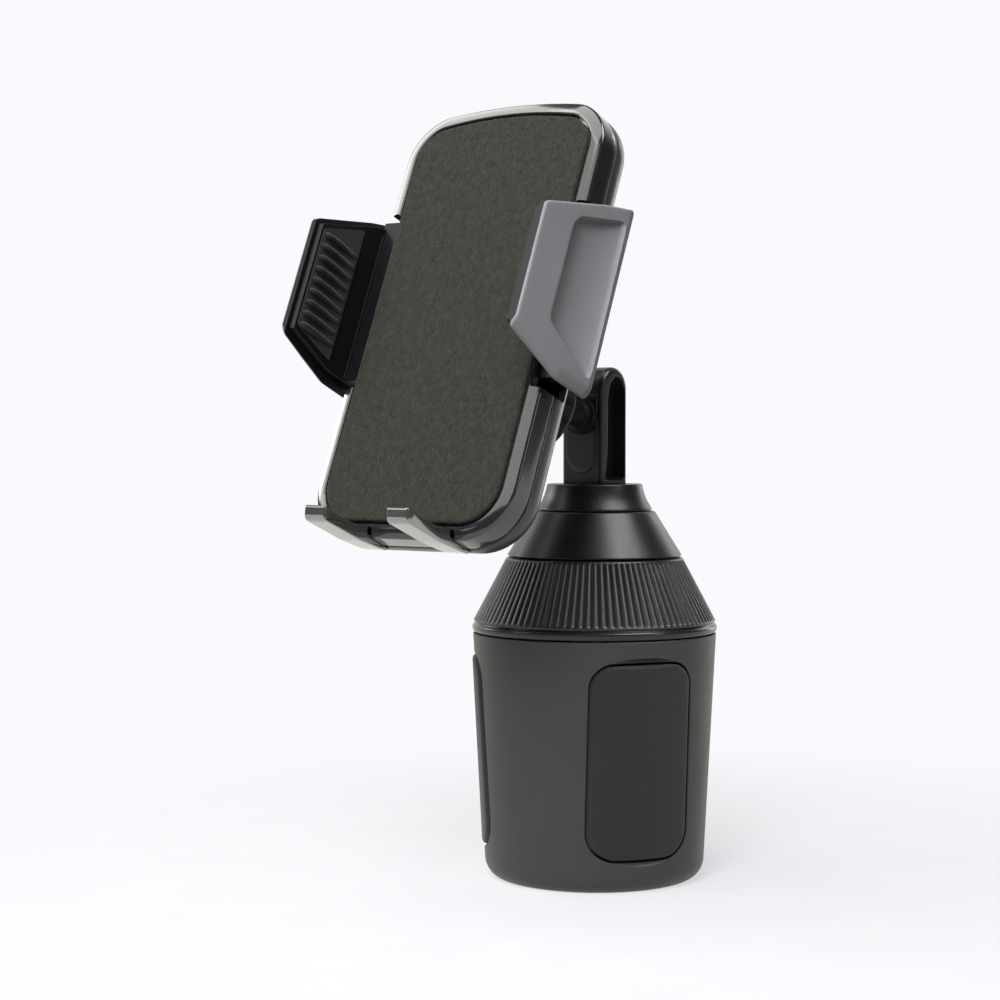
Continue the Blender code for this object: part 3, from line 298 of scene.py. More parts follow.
def link(name, bm, look, body, nodes=(), matrix=WORLD, sharp=35.0, weighted=True):
    """Make a piece from a bmesh: place it, give it its look, and let it ride on its body."""
    bmesh.ops.remove_doubles(bm, verts=bm.verts, dist=1e-7)
    bmesh.ops.recalc_face_normals(bm, faces=bm.faces)
    mesh = bpy.data.meshes.new(name)
    bm.to_mesh(mesh)
    bm.free()
    mesh.shade_smooth()
    mesh.set_sharp_from_angle(angle=math.radians(sharp))
    obj = bpy.data.objects.new(name, mesh)
    bpy.context.scene.collection.objects.link(obj)
    obj.matrix_world = matrix
    if body is None:
        return obj
    mesh.materials.append(LOOKS[look])
    if weighted:
        normals = obj.modifiers.new("normals", "WEIGHTED_NORMAL")
        normals.keep_sharp = True
    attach(obj, body)
    if nodes:
        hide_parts(*nodes)
    return obj


def lofted(*solids):
    """A bmesh of solids; each is a list of closed rings of equal length, joined by quads and capped."""
    bm = bmesh.new()
    for rings in solids:
        rows = [[bm.verts.new(point) for point in ring] for ring in rings]
        for low, high in zip(rows, rows[1:]):
            for i in range(len(low)):
                j = (i + 1) % len(low)
                bm.faces.new((low[i], low[j], high[j], high[i]))
        bm.faces.new(rows[0][::-1])
        bm.faces.new(rows[-1])
    return bm


def lathe_into(bm, profile, segments=128, wave=None):
    """Turn a profile of (radius, height) about Z; wave changes a radius by place and angle."""
    rows = []
    for radius, height in profile:
        if radius < 1e-6:
            rows.append([bm.verts.new((0.0, 0.0, height))])
            continue
        row = []
        for i in range(segments):
            angle = math.tau * i / segments
            r = radius + (wave(radius, height, angle) if wave else 0.0)
            row.append(bm.verts.new((r * math.cos(angle), r * math.sin(angle), height)))
        rows.append(row)
    loop = len(rows[0]) > 1
    for low, high in list(zip(rows, rows[1:])) + ([(rows[-1], rows[0])] if loop else []):
        for i in range(segments):
            j = (i + 1) % segments
            face = [low[i % len(low)], low[j % len(low)], high[j % len(high)], high[i % len(high)]]
            face = list(dict.fromkeys(face))
            if len(face) > 2:
                bm.faces.new(face)


def lathe(name, profile, look, body, nodes, radius, segments, matrix=WORLD, wave=None, steps=3,
          limit=12.0):
    """A turned piece with softened corners; a profile that starts on the axis is an open line."""
    closed = profile[0][0] > 1e-6
    bm = bmesh.new()
    lathe_into(bm, soften(profile, radius, steps, closed, limit), segments, wave)
    return link(name, bm, look, body, nodes, matrix)


def arc(centre, radius, start, end, steps):
    """Points on a circle from start to end degrees, both included."""
    return [(centre[0] + radius * math.cos(math.radians(start + (end - start) * i / steps)),
             centre[1] + radius * math.sin(math.radians(start + (end - start) * i / steps)))
            for i in range(steps + 1)]


def between(points, spacing):
    """The outline with extra points, so that no side is longer than the spacing."""
    made = []
    for index, point in enumerate(points):
        here, after = Vector(point), Vector(points[(index + 1) % len(points)])
        parts = max(1, math.ceil((after - here).length / spacing))
        made += [here.lerp(after, part / parts) for part in range(parts)]
    return made


def inset(points, amount):
    """A closed counter-clockwise outline moved inwards along its corner bisectors."""
    made = []
    for index, point in enumerate(points):
        here = Vector(point)
        before, after = Vector(points[index - 1]), Vector(points[(index + 1) % len(points)])
        first, second = (here - before).normalized(), (after - here).normalized()
        normal = Vector((-first.y - second.y, first.x + second.x))
        if normal.length < 1e-9:
            normal = Vector((-first.y, first.x))
        normal.normalize()
        lean = max(0.5, normal.dot(Vector((-first.y, first.x))))
        made.append(here + normal * amount / lean)
    return made


def counter_clockwise(points):
    """The outline in counter-clockwise order."""
    area = sum(Vector(points[i - 1]).cross(Vector(points[i])) for i in range(len(points)))
    return points if area > 0 else points[::-1]


def distances(points, outline):
    """Distances from points to a closed outline, and whether each point lies inside it."""
    spots = np.array([tuple(p) for p in points], float).reshape(-1, 1, 2)
    ends = np.array([tuple(p) for p in outline], float)
    starts = np.roll(ends, 1, axis=0)
    sides = ends - starts
    offsets = spots - starts
    share = np.clip((offsets * sides).sum(2) / np.maximum((sides ** 2).sum(1), 1e-18), 0.0, 1.0)
    near = np.linalg.norm(offsets - share[..., None] * sides, axis=2).min(1)
    x, y = spots[..., 0], spots[..., 1]
    crosses = (starts[:, 1] > y) != (ends[:, 1] > y)
    rise = np.where(np.abs(sides[:, 1]) < 1e-15, 1e-15, sides[:, 1])
    left = x < starts[:, 0] + (y - starts[:, 1]) / rise * sides[:, 0]
    return near, (crosses & left).sum(1) % 2 == 1


def relief(name, outline, place, look, body, nodes, spacing, edge, matrix=WORLD, height=None,
           edge_steps=4, lines=()):
    """A plate with a rounded front edge and a shaped front.

    place(a, b, share, lift) gives the point over (a, b): share 0 is the plate's back and 1 its
    front, and lift is added to the front, in metres.  The mesh follows the lines.
    """
    rim = between(counter_clockwise([Vector(p) for p in outline]), spacing)
    rings = [[Vector(p) for p in inset(rim, edge * (1 - math.cos(math.pi / 2 * k / edge_steps)))]
             for k in range(edge_steps + 1)]
    line_rings = [between([Vector(p) for p in line], spacing) for line in lines]
    points, lifts, edges = [], [], []
    kept = [(ring, edge * (math.sin(math.pi / 2 * k / edge_steps) - 1), k == 0)
            for k, ring in enumerate(rings)]
    kept += [(ring, 0.0, True) for ring in line_rings]
    for ring, lift, fixed in kept:
        first = len(points)
        points += ring
        lifts += [lift] * len(ring)
        if fixed:
            edges += [(first + i, first + (i + 1) % len(ring)) for i in range(len(ring))]
    inner = rings[-1]
    low = Vector((min(p.x for p in inner), min(p.y for p in inner)))
    high = Vector((max(p.x for p in inner), max(p.y for p in inner)))
    grid = [low + Vector((i + 0.5 * (j % 2), j)) * spacing
            for i in range(int((high.x - low.x) / spacing) + 1)
            for j in range(int((high.y - low.y) / spacing) + 1)]
    near, inside = distances(grid, inner)
    keep = inside & (near > 0.45 * spacing)
    for ring in line_rings:
        keep &= distances(grid, ring)[0] > 0.3 * spacing
    points += [point for point, wanted in zip(grid, keep) if wanted]
    lifts += [0.0] * (len(points) - len(lifts))
    flat, _, faces, origin, _, _ = delaunay_2d_cdt(points, edges, [], 1, 1e-8)
    bm = bmesh.new()
    front, back = [], []
    for index, point in enumerate(flat):
        lift = lifts[origin[index][0]] if origin[index] else 0.0
        if height:
            lift += height(point.x, point.y)
        front.append(bm.verts.new(place(point.x, point.y, 1.0, lift)))
        back.append(bm.verts.new(place(point.x, point.y, 0.0, 0.0)))
    sides = set()
    for face in faces:
        bm.faces.new([front[i] for i in face])
        bm.faces.new([back[i] for i in reversed(face)])
        sides.update(zip(face, face[1:] + face[:1]))
    for i, j in sides:
        if (j, i) not in sides:
            bm.faces.new((front[j], front[i], back[i], back[j]))
    loose = [vert for vert in bm.verts if not vert.link_faces]
    bmesh.ops.delete(bm, geom=loose, context="VERTS")
    return link(name, bm, look, body, nodes, matrix, sharp=50.0, weighted=False)


def cutter(name, bm, matrix=WORLD):
    """A shape that only cuts others."""
    obj = link(name, bm, None, None, matrix=matrix)
    obj.hide_render = True
    obj.hide_viewport = True
    return obj


def box_tool(name, low, high, matrix, round_w=0.0):
    """A box cutter, with rounded edges if asked."""
    tool = bmesh.new()
    bmesh.ops.create_cube(tool, size=1.0)
    bmesh.ops.scale(tool, vec=[b - a for a, b in zip(low, high)], verts=tool.verts)
    bmesh.ops.translate(tool, vec=[(a + b) / 2 for a, b in zip(low, high)], verts=tool.verts)
    if round_w:
        bmesh.ops.bevel(tool, geom=tool.edges[:], offset=round_w, segments=3, profile=0.5, affect="EDGES")
    return cutter(name, tool, matrix)


def carve(obj, tools):
    """Cut tools out of a piece for good; its other modifiers stay."""
    for tool in tools:
        modifier = obj.modifiers.new("cut", "BOOLEAN")
        modifier.operation = "DIFFERENCE"
        modifier.solver = "EXACT"
        modifier.object = tool
        obj.modifiers.move(len(obj.modifiers) - 1, 0)
    for modifier in obj.modifiers:
        modifier.show_viewport = modifier.type == "BOOLEAN"
    bpy.context.view_layer.update()
    graph = bpy.context.evaluated_depsgraph_get()
    mesh = bpy.data.meshes.new_from_object(obj.evaluated_get(graph))
    for modifier in [m for m in obj.modifiers if m.type == "BOOLEAN"]:
        obj.modifiers.remove(modifier)
    for modifier in obj.modifiers:
        modifier.show_viewport = True
    mesh.shade_smooth()
    mesh.set_sharp_from_angle(angle=math.radians(35.0))
    if not mesh.materials and obj.data.materials:
        mesh.materials.append(obj.data.materials[0])
    obj.data = mesh
    for tool in tools:
        bpy.data.objects.remove(tool)


def smoothstep(low, high, value):
    """0 below low, 1 above high, smooth between."""
    t = max(0.0, min(1.0, (value - low) / (high - low)))
    return t * t * (3 - 2 * t)


# ---------------------------------------------------------------- base
CUP_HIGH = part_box("base_cup")[1]
CUP_RIM_R = CUP_HIGH.x
CUP_RIM_Z = CUP_HIGH.z
CUP_EDGE_R = CUP_RIM_R - 0.0034
CUP_EDGE_Z = 0.0060
CUP_FOOT_R = CUP_EDGE_R - 0.0050
CUP_WALL = 0.0028
WINDOW = (0.0155, 0.0090, 0.0643, 0.0085, 0.0068)   # half width, low, high, low and high corner radius
PAD_CLEAR = 0.0006
PAD_PROUD = 0.0006
PAD_DEEP = -0.0032
PAD_BORDER = 0.0011
RIDGES = 96
RIDGE_DEPTH = 0.00052


def cup_radius(height):
    """Outer radius of the cup's taper at a height."""
    return CUP_EDGE_R + (CUP_RIM_R - CUP_EDGE_R) * (height - CUP_EDGE_Z) / (CUP_RIM_Z - CUP_EDGE_Z)


def on_cup(y, z, off):
    """A point on the cup's taper, offset outwards, where X is the pad's direction."""
    radius = cup_radius(z) + off
    return Vector((math.sqrt(max(radius * radius - y * y, 1e-10)), y, z))


def rounded(half_w, low, high, low_r, high_r, crown=0.0, steps=10):
    """A rectangle with rounded corners, whose top edge rises by crown at its middle."""
    points = arc((-half_w + low_r, low + low_r), low_r, 180, 270, steps)
    points += arc((half_w - low_r, low + low_r), low_r, 270, 360, steps)
    points += arc((half_w - high_r, high - high_r), high_r, 0, 90, steps)
    if crown:
        points += [(x * (half_w - high_r), high) for x in (0.8, 0.6, 0.4, 0.2, 0.0, -0.2, -0.4, -0.6, -0.8)]
    points += arc((-half_w + high_r, high - high_r), high_r, 90, 180, steps)
    rise = high - 2 * high_r
    return [(x, y + crown * (1 - (x / half_w) ** 2) * max(0.0, min(1.0, (y - rise) / (high - rise))))
            for x, y in points]


def window_outline(grow):
    """The pad window's outline, grown outwards."""
    half_w, low, high, low_r, high_r = WINDOW
    return rounded(half_w + grow, low - grow, high + grow, low_r + grow, high_r + grow, steps=12)


def pad_matrix(number):
    """The frame whose X axis is the way a pad slides."""
    out = Vector(JOINTS[f"pad_slide_{number}"]["axis"]).normalized()
    return axes_matrix(Vector(), out, Vector((0, 0, 1)).cross(out), Vector((0, 0, 1)))


def build_cup():
    """The cup with its rounded foot, and windows whose rims are rolled over."""
    foot = [(CUP_FOOT_R + (CUP_EDGE_R - CUP_FOOT_R) * math.cos(math.radians(a)),
             CUP_EDGE_Z * (1 - math.sin(math.radians(a)))) for a in range(0, 91, 9)]
    side = [(cup_radius(z), z) for z in (CUP_RIM_Z, 0.0640, 0.0500, 0.0360, 0.0220, 0.0090)]
    floor, inner = 0.0034, CUP_RIM_R - CUP_WALL
    profile = [(0.0, floor), (CUP_EDGE_R - 0.0046, floor), (CUP_EDGE_R - 0.0030, floor + 0.0022),
               (inner, CUP_RIM_Z)] + side + foot + [(0.0, 0.0)]
    cup = lathe("cup_body", profile, "cup", "base", ("base_cup",), 0.0004, 144)
    roll, inside, outside = 0.0005, 0.0170, 0.0400
    steps = ((-0.0060, 0.0), (-roll, 0.0), (-0.62 * roll, 0.08 * roll), (-0.29 * roll, 0.29 * roll),
             (-0.08 * roll, 0.62 * roll), (0.0, roll), (0.0010, roll + 0.0010))
    tools = []
    for number in (1, 2, 3):
        rings = [[Vector((inside, y, z)) for y, z in window_outline(0.0)]]
        rings += [[on_cup(y, z, off) for y, z in window_outline(grow)] for off, grow in steps]
        rings.append([Vector((outside, y, z)) for y, z in window_outline(steps[-1][1])])
        tools.append(cutter(f"window_{number}", lofted(rings), pad_matrix(number)))
    carve(cup, tools)


def build_pads():
    """Rubber pads, set into the windows with a bevelled border."""

    def place(y, z, share, lift):
        return on_cup(y, z, PAD_PROUD + lift if share else PAD_DEEP)

    for number in (1, 2, 3):
        relief(f"rubber_pad_{number}", window_outline(-PAD_CLEAR), place, "pad", f"pad_{number}",
               (f"grip_pad_{number}",), 0.0015, PAD_BORDER, pad_matrix(number), edge_steps=5)


def build_ring():
    """The ridged ring: rounded ridges between narrow grooves that fade out at both ends."""
    low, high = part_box("knurled_ring")
    low_r, low_z, high_z = high.x, low.z, high.z
    high_r, bore = 0.0253, 0.0215
    slope = (high_r - low_r) / (high_z - low_z)
    lip, fade, web = 0.0004, 0.0006, 0.0018

    def outer(z):
        return low_r + slope * (z - low_z)

    def wave(radius, z, angle):
        if radius < outer(z) - lip:
            return 0.0
        ends = smoothstep(low_z + lip, low_z + lip + fade, z)
        ends *= 1.0 - smoothstep(high_z - lip - fade, high_z - lip, z)
        ridge = abs(math.sin(RIDGES * angle / 2)) ** 0.75
        return -RIDGE_DEPTH * (1.0 - ridge) * ends

    rows = [low_z + lip + fade * i / 3 for i in range(4)]
    middle = [low_z + 0.0012 + (high_z - low_z - 0.0024) * i / 6 for i in range(7)]
    top = [high_z - lip - fade * i / 3 for i in (3, 2, 1, 0)]
    side = [(outer(z), z) for z in reversed(rows + middle + top)]
    profile = [(bore, high_z), (high_r - 0.0003, high_z)] + side + [
        (low_r - lip, low_z), (0.0235, low_z), (0.0235, low_z + web), (0.0305, low_z + web),
        (0.0222, high_z - web), (bore, high_z - web)]
    bm = bmesh.new()
    lathe_into(bm, profile, RIDGES * 8, wave)
    link("ridged_ring", bm, "knurl", "adjust_ring", ("knurled_ring",), sharp=60.0,
         weighted=False)


def build_cone():
    """The bead on the cup's rim and the smooth cone."""
    low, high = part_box("trim_ring")
    r, bore = high.x, 0.0302
    bead = [(bore, high.z + 0.0002), (r - 0.0009, high.z + 0.0002), (r - 0.0008, high.z - 0.0001),
            (r, high.z - 0.0008), (r, low.z + 0.0009), (r - 0.0005, low.z), (bore, low.z)]
    lathe("rim_bead", bead, "rim", "base", ("trim_ring",), 0.0004, 160, steps=5)
    low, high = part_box("cone_cover")
    bore, sleeve, top_r, wall = 0.0028, 0.0085, 0.0173, 0.0026
    foot, ceiling = low.z + 0.0002, high.z - wall
    cone = [(bore, high.z), (top_r, high.z), (high.x, foot), (high.x - wall, foot), (top_r - wall, ceiling),
            (sleeve, ceiling), (sleeve, low.z), (bore, low.z)]
    lathe("smooth_cone", cone, "satin", "base", ("cone_cover",), 0.0005, 160, steps=4)


# ---------------------------------------------------------------- neck
POST_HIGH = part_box("neck_post")[1]
COLLAR_LOW, COLLAR_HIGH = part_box("neck_collar")
POST_HALF_W = 0.00735
POST_HALF_D = 0.00625
POST_TOP = POST_HIGH.z + 0.0008
POCKET_LOW = COLLAR_HIGH.z + 0.0011
PANEL_PROUD, PANEL_DEEP = 0.00028, -0.0004


def build_post():
    """The post: a round-topped bar with a deep pocket in each side."""
    centre = POST_TOP - POST_HALF_D
    foot_z = COLLAR_HIGH.z - 0.0030
    outline = [(-POST_HALF_D, foot_z), (POST_HALF_D, foot_z)] + arc((0.0, centre), POST_HALF_D, 0, 180, 28)
    round_w, levels = 0.0016, 6
    rings = []
    for k in range(levels + 1):
        turn = math.pi / 2 * k / levels
        ring = inset(outline, round_w * (1 - math.sin(turn)))
        rings.append([Vector((-POST_HALF_W + round_w * (1 - math.cos(turn)), y, z)) for y, z in ring])
    rings += [[Vector((-p.x, p.y, p.z)) for p in ring] for ring in reversed(rings)]
    post = link("post_bar", lofted(rings), "satin", "neck", ("neck_post",))
    front, back, flare = -POST_HALF_D + 0.0026, POST_HALF_D - 0.0014, 0.0016
    pocket = [(front - flare, POCKET_LOW), (back, POCKET_LOW)]
    pocket += arc((0.0, centre - 0.0012), back, 0, 88, 10)
    pocket += [(front + 0.0011, centre + 0.0014), (front, centre - 0.0030), (front, POCKET_LOW + 0.0085),
               (front - 0.35 * flare, POCKET_LOW + 0.0048)]
    pocket = soften(pocket, 0.0014, 5, limit=8.0)
    lip, depth = 0.0004, 0.0042
    steps = ((depth, 0.0), (lip, 0.0), (0.6 * lip, 0.1 * lip), (0.25 * lip, 0.35 * lip), (0.0, lip),
             (-0.0020, lip + 0.0020))
    tools = []
    for side in (-1, 1):
        rings = [[Vector((side * (POST_HALF_W - deep), y, z)) for y, z in inset(pocket, -grow)]
                 for deep, grow in steps]
        tools.append(cutter(f"pocket_{side + 2}", lofted(rings)))
    carve(post, tools)


def build_post_panel():
    """The post's raised front panel, with a bowed lower edge."""
    half_w, low, high, bow = 0.0054, POCKET_LOW + 0.0076, 0.1385, 0.0056

    def place(x, z, share, lift):
        return Vector((x, -POST_HALF_D - (PANEL_PROUD + lift if share else PANEL_DEEP), z))

    panel = [(-half_w, high), (half_w, high), (half_w, low)]
    panel += [(half_w * math.cos(a), low - bow * math.sin(a))
              for a in (math.pi * k / 12 for k in range(1, 12))] + [(-half_w, low)]
    relief("post_front_panel", panel, place, "satin", "neck", (), 0.0009, 0.00025,
           edge_steps=3)


def build_collar():
    """The flared collar round the post."""
    z0, z1 = COLLAR_LOW.z, COLLAR_HIGH.z
    flare = [(0.0137, z1), (0.0139, z1 - 0.0012), (0.0144, z1 - 0.0030), (0.0152, z1 - 0.0049),
             (0.0162, z1 - 0.0066), (COLLAR_HIGH.x, z0)]
    ceiling = z0 + 0.0051
    profile = [(0.0, z1)] + flare + [(0.0142, z0), (0.0116, ceiling), (0.0, ceiling)]
    collar = lathe("neck_flare", profile, "satin", "neck", ("neck_collar",), 0.0005, 160,
                   steps=4, limit=16.0)
    gap, corner = 0.0003, 0.0019
    hole = rounded(POST_HALF_W + gap, -POST_HALF_D - gap, POST_HALF_D + gap, corner, corner, steps=6)
    rings = [[Vector((x, y, z)) for x, y in hole] for z in (z0 - 0.002, z1 + 0.001)]
    carve(collar, [cutter("collar_hole", lofted(rings))])


def build_stud():
    """The ball on its stem and the screw behind the post."""
    fall = math.radians(8.0)
    axis = Vector((0.0, math.cos(fall), -math.sin(fall)))
    side = Vector((1.0, 0.0, 0.0))
    matrix = axes_matrix(BALL, side, axis.cross(side), axis)
    ball_r, stem_r, flange_r, flange_end, screw_at = 0.0085, 0.0036, 0.0054, 0.0293, 0.0400
    neck = math.degrees(math.asin(stem_r / ball_r))
    ball = arc((0.0, 0.0), ball_r, 90.0 - neck, -90.0, 28)
    profile = [(0.0, flange_end), (flange_r, flange_end), (flange_r, flange_end - 0.0020),
               (stem_r + 0.0006, flange_end - 0.0024), (stem_r, flange_end - 0.0034),
               (stem_r, flange_end - 0.0120), (stem_r - 0.0004, flange_end - 0.0160)] + ball
    lathe("ball_and_stem", profile, "socket", "neck", ("ball_stud",), 0.0003, 64, matrix,
          limit=25.0)
    seat = matrix @ Matrix.Translation((0, 0, screw_at))
    cross_screw("stud_screw_head", "neck", ("stud_screw",), seat, 0.0023)


def cross_screw(name, body, nodes, matrix, head_r):
    """A pan-head screw with a cross recess; Z points out of its head, from the head's seat."""
    tall, shank_r, shank_end = head_r * 0.5, head_r * 0.45, -head_r * 2.4
    profile = [(0.0, tall), (head_r * 0.45, tall * 0.96), (head_r * 0.78, tall * 0.74),
               (head_r, tall * 0.22), (head_r, 0.0), (shank_r, 0.0), (shank_r, shank_end), (0.0, shank_end)]
    head = lathe(name, profile, "steel", body, nodes, 0.0001, 32, matrix, steps=2, limit=30.0)
    half = Vector((head_r * 1.15, head_r * 0.22, tall * 1.3)) / 2
    top = matrix @ Matrix.Translation((0, 0, tall))
    turns = {turn: top @ Matrix.Rotation(math.radians(turn), 4, "Z") for turn in (0, 90)}
    carve(head, [box_tool(f"{name}_slot_{turn}", -half, half, place) for turn, place in turns.items()])


# ---------------------------------------------------------------- ball joint
BALL_TO_FACE = 0.0350
HOLLOW_R = 0.0102                       # the socket's hollow, round the ball and its seat


def build_socket():
    """The socket on the cradle's back, with its three screws."""
    top = BALL_TO_FACE + SHELL_REAR - 0.0003
    flange, barrel, step, mouth = 0.0170, 0.0130, top - 0.0020, -0.0010
    profile = [(0.0, top), (flange, top), (flange, step), (barrel + 0.0012, step), (barrel, top - 0.0034),
               (barrel, mouth), (HOLLOW_R, mouth)]
    profile += arc((0.0, 0.0), HOLLOW_R, 0, 81, 9) + [(0.0, HOLLOW_R)]
    socket = lathe("socket_body", profile, "socket", "cradle", ("socket_cup",), 0.0005, 96,
                   SOCKET, limit=25.0)
    tools = []
    bore_r, circle_r = 0.0011, 0.0151
    for number, angle in enumerate((90, 210, 330)):
        at = Vector((circle_r * math.cos(math.radians(angle)), circle_r * math.sin(math.radians(angle)), top))
        tool = bmesh.new()
        bmesh.ops.create_cone(tool, cap_ends=True, segments=24, radius1=bore_r, radius2=bore_r, depth=0.01)
        tools.append(cutter(f"socket_bore_{number}", tool, SOCKET @ Matrix.Translation(at)))
        under = Matrix.Translation(at - Vector((0, 0, 0.0022)))
        cross_screw(f"socket_screw_head_{number + 1}", "cradle", (f"socket_screw_{number + 1}",),
                    SOCKET @ under @ TURNED_OVER, 0.0016)
    carve(socket, tools)


def build_nut():
    """The lock nut round the socket's barrel, fluted for the fingers."""
    nut_r, flutes, flute_deep = 0.0155, 20, 0.0009
    low, high, rim, bore = -0.0072, 0.0080, 0.0006, 0.0133

    def flute(radius, z, angle):
        if radius < nut_r - rim / 2:
            return 0.0
        ends = smoothstep(-0.0038, -0.0026, z) * (1.0 - smoothstep(0.0060, 0.0072, z))
        return -flute_deep * max(0.0, math.cos(flutes * angle)) ** 2 * ends

    side = [(nut_r, high - rim - 0.0114 * k / 12) for k in range(13)]
    profile = [(bore, high), (nut_r - rim, high)] + side + [(0.0134, low), (0.0109, low)]
    profile += arc((0.0, 0.0), HOLLOW_R, -38, -8, 5) + [(bore, -0.0014)]
    lathe("lock_nut_body", profile, "socket", "lock_nut", ("lock_nut",), 0.0004, flutes * 12,
          SOCKET, flute)


# ---------------------------------------------------------------- cradle shells
FACE_HALF_W = 0.0294
FACE_LOW, FACE_HIGH, FACE_CROWN = -0.0570, 0.0580, 0.0034
FACE_LOW_R, FACE_HIGH_R = 0.0110, 0.0075
BEZEL_W = 0.0041
BEZEL_FRONT, BEZEL_REAR = -0.0004, -0.0078
SHELL_FRONT, SHELL_REAR = -0.0081, -0.0180
SHELL_WALL = 0.0022
RECESS_FLOOR = -0.0022
TIGHTEST_R = 0.0015
EDGE_SPACING = 0.004
SIDE_LOW, SIDE_HIGH, SIDE_EDGE, SIDE_FAR = -0.0190, 0.0340, 0.0297, 0.0420
SIDE_REAR, SIDE_FRONT = -0.0125, 0.0040
NOTCH_HALF_W, NOTCH_LOW, NOTCH_HIGH, NOTCH_FRONT = 0.0040, -0.0660, -0.0585, 0.0030
PRONG_AT = 0.0139
CRADLE_SCREWS = ((-0.0240, 0.0490), (0.0240, 0.0490), (-0.0230, -0.0460), (0.0230, -0.0460))
BUTTON_UP = 0.0340


def face_outline(grow):
    """The cloth's outline grown outwards."""
    low_r, high_r = max(FACE_LOW_R + grow, TIGHTEST_R), max(FACE_HIGH_R + grow, TIGHTEST_R)
    return rounded(FACE_HALF_W + grow, FACE_LOW - grow, FACE_HIGH + grow, low_r, high_r, FACE_CROWN, 12)


def even_rings(pairs):
    """Rings of equal point count for a list of (grow, level)."""
    base = face_outline(0.0)
    parts = [max(1, math.ceil((Vector(base[(i + 1) % len(base)]) - Vector(p)).length / EDGE_SPACING))
             for i, p in enumerate(base)]
    rings = []
    for grow, level in pairs:
        outline = face_outline(grow)
        ring = []
        for i, point in enumerate(outline):
            here, after = Vector(point), Vector(outline[(i + 1) % len(outline)])
            for part in range(parts[i]):
                spot = here.lerp(after, part / parts[i])
                ring.append(Vector((spot.x, spot.y, level)))
        rings.append(ring)
    return rings


def openings(label, window_round, notch_rear):
    """Cutters for the arms' windows in both sides and for the prongs' notches in the lower edge."""
    tools = []
    for number, sign in enumerate((-1, 1)):
        near, far = sorted((sign * SIDE_EDGE, sign * SIDE_FAR))
        tools.append(box_tool(f"{label}_window_{number}", (near, SIDE_LOW, SIDE_REAR),
                              (far, SIDE_HIGH, SIDE_FRONT), FACE, window_round))
        middle = sign * PRONG_AT
        tools.append(box_tool(f"{label}_notch_{number}", (middle - NOTCH_HALF_W, NOTCH_LOW, notch_rear),
                              (middle + NOTCH_HALF_W, NOTCH_HIGH, NOTCH_FRONT), FACE, 0.0003))
    return tools


def build_bezel():
    """The glossy front frame: a land that slopes away, a side that rounds down and a rear rim."""
    side, inner = BEZEL_W, BEZEL_W - SHELL_WALL
    count, bend = 26, 0.62              # strides across the land; past this share it rounds down
    start, middle, end = (math.radians(tilt) for tilt in (8.0, 28.0, 90.0))
    tilts = []
    for step in range(count):
        share = (step + 0.5) / count
        if share < bend:
            tilts.append(start + (middle - start) * share / bend)
        else:
            tilts.append(middle + (end - middle) * (share - bend) / (1.0 - bend))
    lengths = [1.0 if tilt < middle else 0.62 for tilt in tilts]
    place = Vector((0.0009, BEZEL_FRONT))
    stride = (side - place.x) / sum(math.cos(tilt) * length for tilt, length in zip(tilts, lengths))
    shape = [(0.0003, RECESS_FLOOR), (0.0003, -0.0010), (0.0005, -0.0006), tuple(place)]
    for tilt, length in zip(tilts, lengths):
        place = place + Vector((math.cos(tilt), -math.sin(tilt))) * stride * length
        shape.append(tuple(place))
    shape += [(side, -0.0050), (side, BEZEL_REAR + 0.0010), (side - 0.0001, BEZEL_REAR + 0.0004),
              (side - 0.0005, BEZEL_REAR), (inner, BEZEL_REAR), (inner, -0.0045), (inner - 0.0005, -0.0040)]
    bezel = link("front_frame", lofted(even_rings(shape)), "gloss", "cradle", ("front_bezel",),
                 FACE)
    carve(bezel, openings("frame", 0.0014, -0.0116))


def build_back_shell():
    """The rear tray: a rolled edge, a shallow panel step, screw wells, and the button's and arms' holes."""
    side, round_w = BEZEL_W, 0.0083
    inner, hollow = BEZEL_W - SHELL_WALL, 0.0058
    floor, panel = SHELL_REAR + SHELL_WALL, SHELL_REAR + 0.0003
    shape = [(-0.0240, SHELL_REAR), (-0.0160, SHELL_REAR), (-0.0105, SHELL_REAR),
             (-0.0098, SHELL_REAR + 0.0001), (-0.0092, panel), (-0.0060, panel)]
    shape += arc((side - round_w, panel + round_w), round_w, -90, 0, 16)
    shape += [(side, SHELL_FRONT - 0.0008), (side - 0.0001, SHELL_FRONT - 0.0003),
              (side - 0.0005, SHELL_FRONT), (inner, SHELL_FRONT)]
    shape += arc((inner - hollow, floor + hollow), hollow, 0, -90, 8)
    shell = link("rear_shell", lofted(even_rings(shape)), "shell", "cradle", ("back_shell",),
                 FACE)
    well_r, well_floor, hole_r, hole_floor = 0.0027, -0.0166, 0.0053, -0.0100
    wells = [(x, y, well_r, well_floor) for x, y in CRADLE_SCREWS] + [(0.0, BUTTON_UP, hole_r, hole_floor)]
    rim, past = 0.0004, 0.0020
    tools = []
    for number, (x, y, radius, bottom) in enumerate(wells):
        bm = bmesh.new()
        lathe_into(bm, [(0.0, bottom), (radius, bottom), (radius, SHELL_REAR + rim),
                        (radius + 0.3 * rim, SHELL_REAR + 0.3 * rim), (radius + rim, SHELL_REAR),
                        (radius + rim + past, SHELL_REAR - past), (0.0, SHELL_REAR - past)], 48)
        tools.append(cutter(f"well_{number}", bm, FACE @ Matrix.Translation((x, y, 0.0))))
    carve(shell, tools + openings("shell", 0.0012, -0.0096))
    for number, (x, y) in enumerate(CRADLE_SCREWS):
        seat = FACE @ Matrix.Translation((x, y, well_floor - 0.0003)) @ TURNED_OVER
        cross_screw(f"cradle_screw_head_{number + 1}", "cradle", (f"cradle_screw_{number + 1}",), seat,
                    0.0022)


